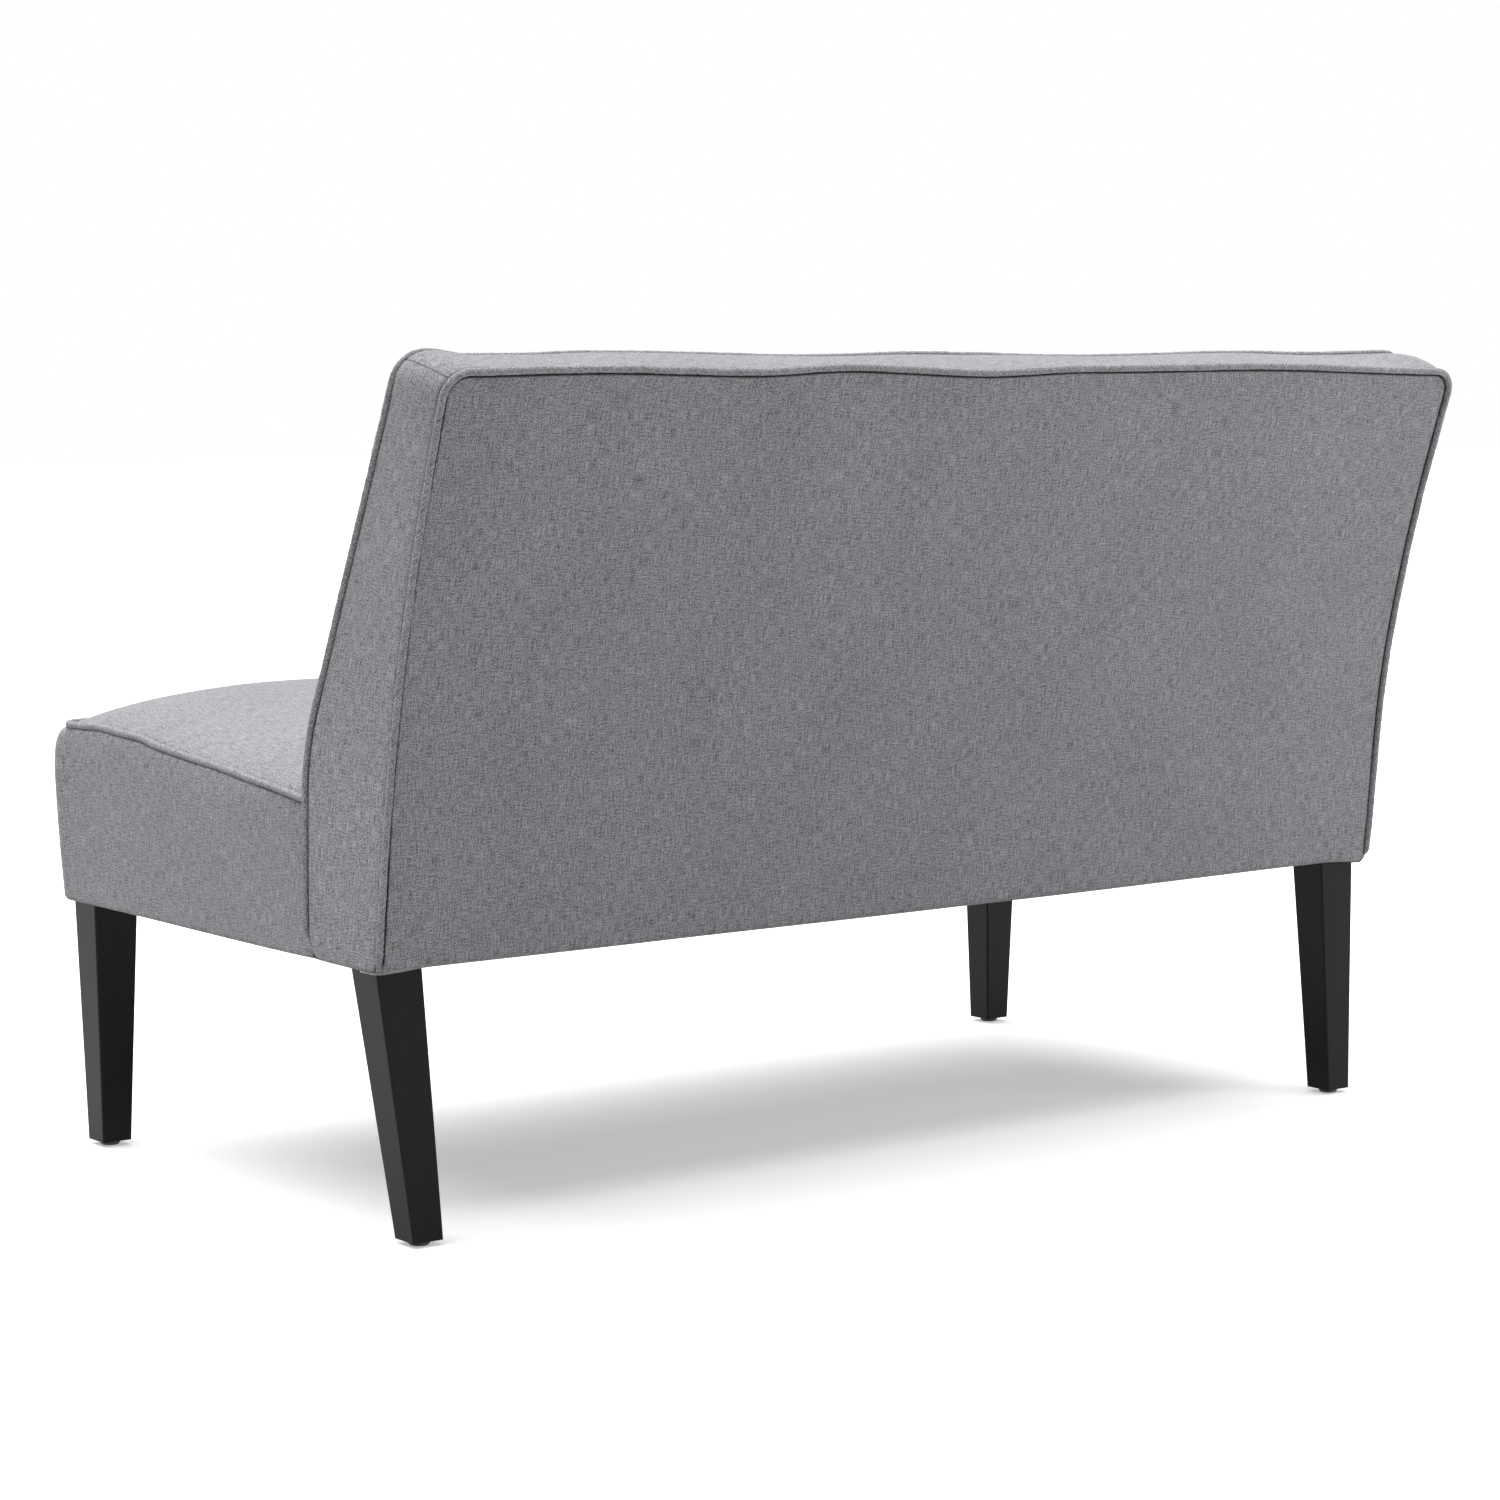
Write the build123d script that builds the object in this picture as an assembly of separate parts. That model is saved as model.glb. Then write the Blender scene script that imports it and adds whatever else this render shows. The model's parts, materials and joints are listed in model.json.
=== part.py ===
from build123d import *
import math
import os

# An armless loveseat: a crowned seat and a raked, tufted back on four tapered legs.
# Millimetres, +Z up, the front towards -Y, the sitter's left towards +X.
# Heights start at the floor, and depths start at the foot of the outside back.
# At the end every piece moves by one amount, so that the middle of the footprint is the origin.

# Overall sizes
overall_width = 1300.0
overall_height = 820.0
underside_height = 260.0

# Covers, welts and clearances
cover_thickness = 1.6
clearance = 0.3
drive_fit = 0.1
welt_diameter = 7.0
welt_proud = 3.0

# The back, seen from the side
back_foot_depth = 124.0
rear_lower_lean = 7.0
rear_upper_lean = 18.4
rear_bend_height = 540.0
rear_bend_radius = 1800.0
front_lean = 24.6
front_bend_radius = 200.0
top_depth = 77.0
top_fall = 16.5
top_corner_radius = 26.0

# The back's padding and tufts
back_foam_thickness = 40.0
back_crown = 18.0
tuft_depth = 9.0
tuft_hollow_radius = 60.0
tuft_pitch = 350.0
tuft_upper_row = 125.0
tuft_row_spacing = 135.0
button_diameter = 24.0
button_height = 8.0
button_dome = 4.0
twine_diameter = 2.0
liner_thickness = 2.5

# The seat
seat_depth = 490.0
seat_welt_height = 440.0
seat_welt_fall = 38.0
seat_level_length = 87.0
seat_welt_bend_radius = 100.0
seat_corner_radius = 30.0
seat_crown = 38.0
front_bulge = 15.0
front_bulge_height = 140.0
front_tuck = 3.0

# How a crown rises from its seam
crown_reach = 65.0
crown_seam_step = 3.0
shoulder_width = 140.0
crown_step_shares = [0.045, 0.1, 0.18, 0.3, 0.48, 0.78]
trim_allowance = 4.0

# Wooden frame
rail_height = 75.0
rail_thickness = 22.0
post_thickness = 18.0
block_size = 70.0
top_rail_depth = 50.0
lumbar_rail_height = 30.0
stretcher_height = 60.0
stretcher_thickness = 30.0

# Webbing and cloths
strap_width = 60.0
strap_thickness = 2.0
seat_strap_count = 8
back_strap_count = 4
deck_cloth_thickness = 1.0
dust_cover_thickness = 1.0

# Legs and glides
leg_foot = 33.0
leg_top_width = 50.0
leg_top_depth = 45.0
leg_edge_radius = 2.0
front_leg_side_inset = 39.6
front_leg_front_inset = 29.0
rear_leg_side_inset = 32.2
rear_leg_rear_inset = 33.2
rear_leg_rake_back = 28.5
rear_leg_rake_in = 15.2
glide_diameter = 20.0
glide_height = 5.0
glide_edge = 1.2
glide_floor = 1.5
nail_diameter = 2.4
nail_length = 22.0

# Leg bolts, in pairs
bolt_diameter = 8.0
bolt_head_diameter = 13.0
bolt_head_height = 5.3
washer_diameter = 17.0
washer_thickness = 1.6
bolt_clearance = 0.3
insert_diameter = 12.0
insert_length = 20.0
leg_bolt_pitch = 26.0
leg_bolt_inset = 10.0
counterbore_spare = 1.0

# Bolts between seat and back
joining_bolt_inner = 200.0
joining_bolt_block_gap = 55.0
nut_height = 6.5
nut_width = 13.0
bolt_tip = 4.0

# Screws and dowels
screw_diameter = 4.5
screw_head_diameter = 9.0
screw_head_height = 2.5
screw_length = 60.0
screw_pitch = 26.0
dowel_diameter = 10.0
dowel_length = 40.0
dowel_spare = 1.0
dowel_pitch = 40.0

# Places that follow from the sizes above
welt_radius = welt_diameter / 2
seam_gap = welt_radius + clearance
lining = cover_thickness + clearance
side_x = overall_width / 2 - welt_proud
welt_x = overall_width / 2 - welt_radius
inner_x = welt_x - seam_gap
trim_x = inner_x + trim_allowance
post_inner_x = inner_x - post_thickness
frame_foot_z = underside_height + dust_cover_thickness
rail_top_z = frame_foot_z + rail_height
deck_z = rail_top_z + strap_thickness + deck_cloth_thickness
back_front_y = -back_foot_depth
seat_rear_y = back_front_y - seam_gap
seat_front_y = back_front_y - seat_depth
welt_front_y = seat_front_y - welt_proud + welt_radius
cover_front_y = welt_front_y + seam_gap
frame_front_y = max(cover_front_y, seat_front_y + front_tuck + lining)
level_y = seat_front_y + seat_level_length
bulge_z = underside_height + front_bulge_height
inner_corner_radius = seat_corner_radius - (side_x - inner_x)
lower_front_y = seat_rear_y + clearance + cover_thickness + clearance
pieces = {}


# Side-view geometry of the back


def leaning(degrees):
    angle = math.radians(degrees)
    return Vector(0, math.sin(angle), math.cos(angle))


def inward(direction, side):
    """Square to an upward direction in the side view: rearward with side 1, forward with side -1."""
    return Vector(0, direction.Z, -direction.Y) * side


def meet(first, second):
    """Where two lines of the side view cross; a line is a point and a direction."""
    p, u = first
    q, v = second
    gap = q - p
    along = (gap.Y * v.Z - gap.Z * v.Y) / (u.Y * v.Z - u.Z * v.Y)
    return p + u * along


def level_line(z):
    return (Vector(0, 0, z), Vector(0, 1, 0))


rear_foot = Vector(0, 0, underside_height)
rear_low = leaning(rear_lower_lean)
rear_high = leaning(rear_upper_lean)
front_up = leaning(front_lean)
front_top_z = overall_height - welt_radius
rear_bend = meet((rear_foot, rear_low), level_line(rear_bend_height))
rear_top = meet((rear_bend, rear_high), level_line(front_top_z - top_fall))
front_top = Vector(0, rear_top.Y - top_depth, front_top_z)
front_bend = meet((front_top, front_up), (Vector(0, back_front_y, 0), Vector(0, 0, 1)))
top_run = (rear_top - front_top).normalized()
top_up = inward(top_run, -1)
front_in = inward(front_up, 1)


def rear_lower_line(inset):
    return (rear_foot + inward(rear_low, -1) * inset, rear_low)


def rear_upper_line(inset):
    return (rear_bend + inward(rear_high, -1) * inset, rear_high)


def top_line(inset):
    return (front_top - top_up * inset, top_run)


def front_line(inset):
    return (front_top + front_in * inset, front_up)


def rear_edge(inset, foot_z, top_inset):
    """The bent rear line of the back, inset towards the front."""
    foot = meet(rear_lower_line(inset), level_line(foot_z))
    bend = meet(rear_lower_line(inset), rear_upper_line(inset))
    top = meet(rear_upper_line(inset), top_line(top_inset))
    return FilletPolyline(foot, bend, top, radius=rear_bend_radius + inset)


def across(face, x_from, x_to):
    """A side-view face drawn out from one place across the width to another."""
    return Pos(x_from, 0, 0) * extrude(face, amount=x_to - x_from, dir=(1, 0, 0))


def slab(x_from, x_to, y_from, y_to, z_from, z_to):
    middle = Pos((x_from + x_to) / 2, (y_from + y_to) / 2, (z_from + z_to) / 2)
    return middle * Box(x_to - x_from, y_to - y_from, z_to - z_from)


def rod(start, end, radius):
    """A round bar from one point to another."""
    run = Vector(end) - Vector(start)
    return extrude(Plane(start, z_dir=run) * Circle(radius), amount=run.length)


def tube(path):
    """A welt along a path."""
    return sweep(Plane(path @ 0, z_dir=path % 0) * Circle(welt_radius), path=path)


def other_side(piece):
    return mirror(piece, about=Plane.YZ)


def pair(name, left_piece):
    """A piece for each end of the loveseat; the sitter's left is +X."""
    pieces[f"left_{name}"] = left_piece
    pieces[f"right_{name}"] = other_side(left_piece)


def drill(hole, *names):
    for name in names:
        pieces[name] -= hole


def corner_room(top, up, half_width, drop):
    """Room inside a cover or welt that runs up both sides and over the top, round both top corners."""
    head = top - up * drop
    foot = top - up * overall_height
    corners = [Vector(half_width, 0, 0) + foot, Vector(half_width, 0, 0) + head]
    corners += [Vector(-half_width, 0, 0) + head, Vector(-half_width, 0, 0) + foot]
    edge = FilletPolyline(*corners, radius=top_corner_radius - drop)
    face = make_face(edge.edges() + [Line(corners[-1], corners[0])])
    return extrude(face, amount=overall_height, dir=inward(up, 1), both=True)


front_room = corner_room(front_top, front_up, inner_x, seam_gap)
rear_room = corner_room(rear_top, rear_high, inner_x, seam_gap)
boxing_room = corner_room(front_top, top_up, side_x, 0)
boxing_inside = corner_room(front_top, top_up, side_x - cover_thickness, cover_thickness)
frame_room = corner_room(front_top, top_up, inner_x, lining)


# Crowned pads: outlines across the width, lofted along the depth of the pad


def crown_share(distance):
    """How much of its full height a crown has at this distance from its seam."""
    return 1 - math.exp(-(distance + crown_seam_step) / crown_reach)


def crown_steps(length):
    """Where outlines are drawn from a pad's seam to the middle of its length."""
    return [length / 2 * share for share in crown_step_shares]


def crown_arcs(at, rise):
    """The top of a pad: a shoulder, a level middle and a shoulder, with spare to trim at both side seams."""
    shoulder_x = inner_x - shoulder_width
    shoulder_radius = (shoulder_width**2 + rise**2) / (2 * rise)
    run = shoulder_width + trim_allowance
    end_height = rise - shoulder_radius + math.sqrt(shoulder_radius**2 - run**2)
    top = Line(at(-shoulder_x, rise), at(shoulder_x, rise))
    left = TangentArc(top @ 1, at(trim_x, end_height), tangent=top % 1)
    right = TangentArc(top @ 0, at(-trim_x, end_height), tangent=(top % 0) * -1)
    return [right, top, left]


def padded_outline(at, rise, base):
    right, top, left = crown_arcs(at, rise)
    sides = Polyline(left @ 1, at(trim_x, base), at(-trim_x, base), right @ 1)
    return make_face([right, top, left] + sides.edges())


def skin_outline(at, rise):
    """A cover's outline: the crown's arcs, and the same arcs one cover thickness lower."""
    over = crown_arcs(at, rise)
    under = crown_arcs(lambda x, h: at(x, h - cover_thickness), rise)
    ends = [Line(over[end] @ 1, under[end] @ 1) for end in (0, -1)]
    return make_face(over + under + ends)


# Seat


def welt_z(y):
    """Height of the seat welt: level near the front, then falling towards the back."""
    fall = (y - level_y) / (back_front_y - level_y)
    return seat_welt_height - seat_welt_fall * max(0, fall)


def border_front_y(z):
    """The front border's face: full at the bulge, tucked in at its foot and at the welt."""
    if z < bulge_z:
        share = (bulge_z - z) / front_bulge_height
        return seat_front_y - front_bulge + (front_bulge + front_tuck) * share**2
    share = (z - bulge_z) / (seat_welt_height - bulge_z)
    return seat_front_y - front_bulge + front_bulge * share**2


def seat_plan(half_width, front_y, rear_y, radius, z):
    """Plan of the seat at one height, with its two front corners rounded."""
    corners = [(half_width, rear_y, z), (half_width, front_y, z)]
    corners += [(-half_width, front_y, z), (-half_width, rear_y, z)]
    edge = FilletPolyline(*corners, radius=radius)
    return make_face(edge.edges() + [Line(corners[-1], corners[0])])


def border_block(inset, rear_y):
    """Solid inside the seat border's face, drawn in by an inset."""
    middle_z = underside_height + front_bulge_height / 2
    upper_z = (bulge_z + seat_welt_height) / 2
    heights = [underside_height, middle_z, bulge_z, upper_z, seat_welt_height]
    plans = []
    for z in heights:
        front_y = border_front_y(z) + inset
        plans.append(seat_plan(side_x - inset, front_y, rear_y, seat_corner_radius - inset, z))
    return loft(plans)


def under_welt(gap):
    """Everything lower than the seat welt by a gap, drawn across the width."""
    front_y = seat_front_y - 2 * front_bulge
    floor_z = underside_height - front_bulge
    points = [(0, seat_rear_y, floor_z), (0, seat_rear_y, welt_z(seat_rear_y) - gap)]
    points += [(0, level_y, seat_welt_height - gap), (0, front_y, seat_welt_height - gap)]
    points += [(0, front_y, floor_z)]
    return across(make_face(Polyline(*points, close=True)), -overall_width, overall_width)


def frame_plan(z_from, z_to):
    """The room for the seat frame inside the border."""
    plan = seat_plan(inner_x, frame_front_y, seat_rear_y, inner_corner_radius, z_from)
    return extrude(plan, amount=z_to - z_from, dir=(0, 0, 1))


seat_pad_depth = seat_rear_y - cover_front_y
seat_steps = [-clearance, *crown_steps(seat_pad_depth), seat_pad_depth + clearance]
pad_plan = extrude(
    seat_plan(inner_x, cover_front_y, seat_rear_y, inner_corner_radius, deck_z),
    amount=overall_height,
    dir=(0, 0, 1),
)


def seat_place(step, lower):
    y = cover_front_y + step
    return lambda x, h: Vector(x, y, welt_z(y) - lower + h)


def seat_foam():
    outlines = []
    for step in seat_steps:
        base = deck_z - welt_z(cover_front_y + step) + lining - trim_allowance
        outlines.append(padded_outline(seat_place(step, lining), seat_crown * crown_share(step), base))
    return loft(outlines, ruled=True) & pad_plan


def seat_top_cover():
    outlines = [skin_outline(seat_place(s, 0), seat_crown * crown_share(s)) for s in seat_steps]
    return loft(outlines, ruled=True) & pad_plan


pieces["seat_foam"] = seat_foam()
pieces["seat_top_cover"] = seat_top_cover()
inside_border = border_block(cover_thickness, back_front_y)
pieces["seat_border"] = (border_block(0, seat_rear_y) - inside_border) & under_welt(seam_gap)
padding_rear_y = min(cover_front_y, frame_front_y) - clearance
padding_room = slab(
    -side_x, side_x, seat_front_y - front_bulge, padding_rear_y, frame_foot_z, seat_welt_height
)
padding_top = under_welt(seam_gap + clearance)
pieces["front_rail_padding"] = border_block(lining, seat_rear_y) & padding_room & padding_top
seat_welt_path = FilletPolyline(
    (welt_x, seat_rear_y, welt_z(seat_rear_y)),
    (welt_x, level_y, seat_welt_height),
    (welt_x, welt_front_y, seat_welt_height),
    (-welt_x, welt_front_y, seat_welt_height),
    (-welt_x, level_y, seat_welt_height),
    (-welt_x, seat_rear_y, welt_z(seat_rear_y)),
    radius=[
        seat_welt_bend_radius,
        seat_corner_radius - (side_x - welt_x),
        seat_corner_radius - (side_x - welt_x),
        seat_welt_bend_radius,
    ],
)
pieces["seat_welt"] = tube(seat_welt_path)

# Seat frame
block_rear_y = frame_front_y + block_size
block_inner_x = inner_x - block_size
side_rail_inner_x = inner_x - rail_thickness
rear_rail_front_y = seat_rear_y - rail_thickness
front_rail_rear_y = frame_front_y + rail_thickness
rail_middle_z = frame_foot_z + rail_height / 2
front_block = slab(block_inner_x, inner_x, frame_front_y, block_rear_y, frame_foot_z, rail_top_z)
pair("front_corner_block", front_block & frame_plan(frame_foot_z, rail_top_z))
pair("seat_rail", slab(side_rail_inner_x, inner_x, block_rear_y, seat_rear_y, frame_foot_z, rail_top_z))
pieces["seat_front_rail"] = slab(
    -block_inner_x, block_inner_x, frame_front_y, front_rail_rear_y, frame_foot_z, rail_top_z
)
pieces["seat_rear_rail"] = slab(
    -side_rail_inner_x, side_rail_inner_x, rear_rail_front_y, seat_rear_y, frame_foot_z, rail_top_z
)
pieces["seat_centre_stretcher"] = slab(
    -stretcher_thickness / 2,
    stretcher_thickness / 2,
    front_rail_rear_y,
    rear_rail_front_y,
    frame_foot_z,
    frame_foot_z + stretcher_height,
)

# Seat webbing and cloths
strap_span = 2 * block_inner_x - strap_width
seat_straps = []
for number in range(seat_strap_count):
    strap_x = strap_span * (number / (seat_strap_count - 1) - 0.5)
    left_x = strap_x - strap_width / 2
    right_x = strap_x + strap_width / 2
    strap_top_z = rail_top_z + strap_thickness
    seat_straps.append(slab(left_x, right_x, frame_front_y, seat_rear_y, rail_top_z, strap_top_z))
pieces["seat_webbing_straps"] = seat_straps
pieces["seat_deck_cloth"] = frame_plan(rail_top_z + strap_thickness, deck_z)

# Back frame
post_rear_inset = lining + liner_thickness + clearance
post_front_inset = back_foam_thickness + strap_thickness + clearance
foam_heel = front_bend + front_in * back_foam_thickness
ledge_z = foam_heel.Z - clearance
post_front = front_line(post_front_inset)
ledge_back = meet(post_front, level_line(ledge_z))
post_top_front = meet(post_front, top_line(lining))
post_top_rear = meet(rear_upper_line(post_rear_inset), top_line(lining))
post_foot_rear = meet(rear_lower_line(post_rear_inset), level_line(frame_foot_z))
post_outline = Polyline(
    post_top_rear,
    post_top_front,
    ledge_back,
    (0, lower_front_y, ledge_z),
    (0, lower_front_y, frame_foot_z),
    post_foot_rear,
)
post_face = make_face(rear_edge(post_rear_inset, frame_foot_z, lining).edges() + post_outline.edges())
top_rail_under = top_line(lining + top_rail_depth)
top_rail_front_foot = meet(post_front, top_rail_under)
top_rail_rear_foot = meet(rear_upper_line(post_rear_inset), top_rail_under)
top_rail_face = make_face(
    Polyline(
        post_top_rear,
        post_top_front,
        top_rail_front_foot,
        top_rail_rear_foot,
        close=True,
    )
)
joining_rail_rear_y = lower_front_y + rail_thickness
rear_rail_rear_y = post_foot_rear.Y
rear_rail_inner_y = rear_rail_rear_y - rail_thickness
rear_block_inner_x = post_inner_x - block_size
lumbar_foot_z = ledge_z - lumbar_rail_height
pair("back_post", across(post_face, post_inner_x, inner_x) & frame_room)
pieces["back_top_rail"] = across(top_rail_face, -post_inner_x, post_inner_x) & frame_room
pieces["back_joining_rail"] = slab(
    -post_inner_x, post_inner_x, lower_front_y, joining_rail_rear_y, frame_foot_z, rail_top_z
)
pieces["back_lumbar_rail"] = slab(
    -post_inner_x, post_inner_x, lower_front_y, ledge_back.Y, lumbar_foot_z, ledge_z
)
pieces["back_rear_rail"] = slab(
    -rear_block_inner_x, rear_block_inner_x, rear_rail_inner_y, rear_rail_rear_y, frame_foot_z, rail_top_z
)
pair(
    "rear_corner_block",
    slab(rear_block_inner_x, post_inner_x, joining_rail_rear_y, rear_rail_rear_y, frame_foot_z, rail_top_z),
)
centre_post = across(post_face, -post_thickness / 2, post_thickness / 2)
for rail in ("back_top_rail", "back_joining_rail", "back_lumbar_rail", "back_rear_rail"):
    centre_post -= pieces[rail]
pieces["back_centre_post"] = centre_post

# Back webbing, pad and covers
back_pad_start = seam_gap
back_pad_end = (front_top - front_bend).length
back_pad_length = back_pad_end - back_pad_start
upper_steps = crown_steps(back_pad_length)
lower_steps = [back_pad_length - step for step in reversed(upper_steps)]
back_steps = [-clearance, *upper_steps, *lower_steps, back_pad_length]


def back_point(x, down, height):
    """A point on the raked front: across, down from the top welt, and out from the face."""
    return Vector(x, 0, 0) + front_top - front_up * down - front_in * height


def back_rise(step):
    return back_crown * crown_share(step) * crown_share(back_pad_length - step)


def back_place(step, lower):
    return lambda x, h: back_point(x, back_pad_start + step, h - lower)


tuft_rows = [
    (tuft_upper_row, [-1.5, -0.5, 0.5, 1.5]),
    (tuft_upper_row + tuft_row_spacing, [-1, 0, 1]),
]
tufts = [(column * tuft_pitch, down) for down, columns in tuft_rows for column in columns]


def tuft_ball(tuft, extra):
    """The hollow that a tuft draws into the pad, as part of a ball."""
    x, down = tuft
    height = back_rise(down - back_pad_start) - tuft_depth + tuft_hollow_radius
    centre = back_point(x, down, height)
    return Plane(centre, z_dir=front_in) * Sphere(tuft_hollow_radius + extra)


def tuft_bar(tuft, height_from, height_to, radius):
    """A round bar square to the raked front, at a tuft."""
    x, down = tuft
    return rod(back_point(x, down, height_from), back_point(x, down, height_to), radius)


def tuft_floor(tuft):
    return back_rise(tuft[1] - back_pad_start) - tuft_depth


def back_foam():
    outlines = []
    for step in back_steps:
        base = lining - back_foam_thickness
        outlines.append(padded_outline(back_place(step, lining), back_rise(step), base))
    foam = loft(outlines, ruled=True) & front_room
    for tuft in tufts:
        foam -= tuft_ball(tuft, lining)
        foam -= tuft_bar(tuft, -back_foam_thickness, tuft_floor(tuft), twine_diameter / 2 + clearance)
    return foam


def back_front_cover():
    skins = [skin_outline(back_place(step, 0), back_rise(step)) for step in back_steps]
    cover = loft(skins, ruled=True) & front_room
    fills = [padded_outline(back_place(s, 0), back_rise(s), -back_foam_thickness) for s in back_steps]
    pad_room = loft(fills, ruled=True)
    for tuft in tufts:
        dish = (tuft_ball(tuft, cover_thickness) & pad_room) - tuft_ball(tuft, 0)
        cover = (cover - tuft_ball(tuft, cover_thickness)) + dish
        floor = tuft_floor(tuft)
        cover -= tuft_bar(tuft, floor - 2 * lining, floor + lining, twine_diameter / 2 + clearance)
    return cover


def button_foot(tuft):
    """Height at which a button's round foot rests in its hollow."""
    return tuft_floor(tuft) + (button_diameter / 2) ** 2 / (2 * tuft_hollow_radius) + clearance


def tuft_button(tuft):
    """A covered button: a domed face on a round foot that rests in the hollow."""
    radius = button_diameter / 2
    dome_radius = (radius**2 + button_dome**2) / (2 * button_dome)
    dome = Pos(0, 0, button_height - dome_radius) * Sphere(dome_radius)
    round_foot = Pos(0, 0, button_height / 2) * Cylinder(radius, button_height)
    return Plane(back_point(*tuft, button_foot(tuft)), z_dir=front_in * -1) * (round_foot & dome)


back_straps = []
for number in range(back_strap_count):
    middle = back_pad_start + back_pad_length * (number + 0.5) / back_strap_count
    strap_face = Polyline(
        back_point(0, middle - strap_width / 2, -back_foam_thickness),
        back_point(0, middle + strap_width / 2, -back_foam_thickness),
        back_point(0, middle + strap_width / 2, -back_foam_thickness - strap_thickness),
        back_point(0, middle - strap_width / 2, -back_foam_thickness - strap_thickness),
        close=True,
    )
    back_straps.append(across(make_face(strap_face), -inner_x, inner_x))
pieces["back_webbing_straps"] = back_straps
pieces["back_foam"] = back_foam()
pieces["back_front_cover"] = back_front_cover()
pieces["tuft_buttons"] = [tuft_button(tuft) for tuft in tufts]
pieces["tuft_twines"] = [
    tuft_bar(tuft, -back_foam_thickness, button_foot(tuft), twine_diameter / 2) for tuft in tufts
]
tail_front_y = seat_rear_y + clearance
tail_rear_y = tail_front_y + cover_thickness
tail_top_z = front_bend.Z - cover_thickness
pieces["back_cover_tail"] = slab(-inner_x, inner_x, tail_front_y, tail_rear_y, frame_foot_z, tail_top_z)


def rear_sheet(outer, inner):
    """A sheet that follows the bent rear of the back, between two insets."""
    outside = rear_edge(outer, underside_height, seam_gap)
    inside = rear_edge(inner, underside_height, seam_gap)
    ends = [Line(outside @ 0, inside @ 0), Line(outside @ 1, inside @ 1)]
    return across(make_face(outside.edges() + inside.edges() + ends), -inner_x, inner_x) & rear_room


pieces["outside_back_panel"] = rear_sheet(0, cover_thickness)
pieces["back_liner_board"] = rear_sheet(lining, lining + liner_thickness)
border_rear = rear_edge(seam_gap, underside_height, 0)
border_front = FilletPolyline(
    meet(front_line(seam_gap), top_line(0)),
    meet(front_line(seam_gap), (Vector(0, back_front_y + seam_gap, 0), Vector(0, 0, 1))),
    (0, back_front_y + seam_gap, underside_height),
    radius=front_bend_radius - seam_gap,
)
border_ends = [Line(border_rear @ 1, border_front @ 0), Line(border_front @ 1, border_rear @ 0)]
boxing_face = make_face(border_rear.edges() + border_front.edges() + border_ends)
boxing = across(boxing_face, -side_x, side_x) & (boxing_room - boxing_inside)


def mitre_cut():
    """All that lies over the mitre seams at the middle of both rounded top corners."""
    low = front_top - top_up * (2 * top_corner_radius)
    low_x = side_x - 2 * top_corner_radius
    outline = Polyline(
        Vector(side_x, 0, 0) + front_top,
        Vector(low_x, 0, 0) + low,
        Vector(-low_x, 0, 0) + low,
        Vector(-side_x, 0, 0) + front_top,
        close=True,
    )
    return extrude(make_face(outline), amount=overall_height, dir=top_run, both=True)


over_mitres = mitre_cut()
side_room = slab(0, overall_width, -overall_height, overall_height, 0, overall_height)
pair("back_side_border", (boxing - over_mitres) & side_room)
pieces["back_top_border"] = boxing & over_mitres


def back_welt(side_points, bend_radius):
    """A welt up one side of the back, across its top and down the other side."""
    left = [(welt_x, point.Y, point.Z) for point in side_points]
    right = [(-x, y, z) for x, y, z in reversed(left)]
    radii = [bend_radius, top_corner_radius, top_corner_radius, bend_radius]
    return tube(FilletPolyline(*left, *right, radius=radii))


front_foot = Vector(0, back_front_y, underside_height)
pieces["back_front_welt"] = back_welt([front_foot, front_bend, front_top], front_bend_radius)
pieces["back_rear_welt"] = back_welt([rear_foot, rear_bend, rear_top], rear_bend_radius)

# Legs, their bolts and glides, and the dust cover that the bolts pass through
front_leg_x = overall_width / 2 - front_leg_side_inset
front_leg_y = seat_front_y + front_leg_front_inset
rear_leg_x = overall_width / 2 - rear_leg_side_inset
rear_leg_y = -rear_leg_rear_inset
leg_places = {
    "front": ((front_leg_x, front_leg_y), (front_leg_x, front_leg_y)),
    "rear": ((rear_leg_x, rear_leg_y), (rear_leg_x - rear_leg_rake_in, rear_leg_y + rear_leg_rake_back)),
}
head_room = washer_thickness + bolt_head_height + counterbore_spare
washer_z = rail_top_z - head_room
groups = {"leg_glides": [], "glide_nails": [], "leg_inserts": [], "leg_bolts": [], "leg_washers": []}


def ring(x, y, z, outer, inner, height):
    return Pos(x, y, z + height / 2) * (Cylinder(outer, height) - Cylinder(inner, height))


def bar(x, y, z_from, z_to, radius):
    return rod((x, y, z_from), (x, y, z_to), radius)


def leg_solid(top, foot):
    foot_face = Pos(*foot, glide_height) * RectangleRounded(leg_foot, leg_foot, leg_edge_radius)
    top_face = Pos(*top, underside_height) * RectangleRounded(leg_top_width, leg_top_depth, leg_edge_radius)
    return loft([foot_face.face(), top_face.face()], ruled=True)


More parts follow.
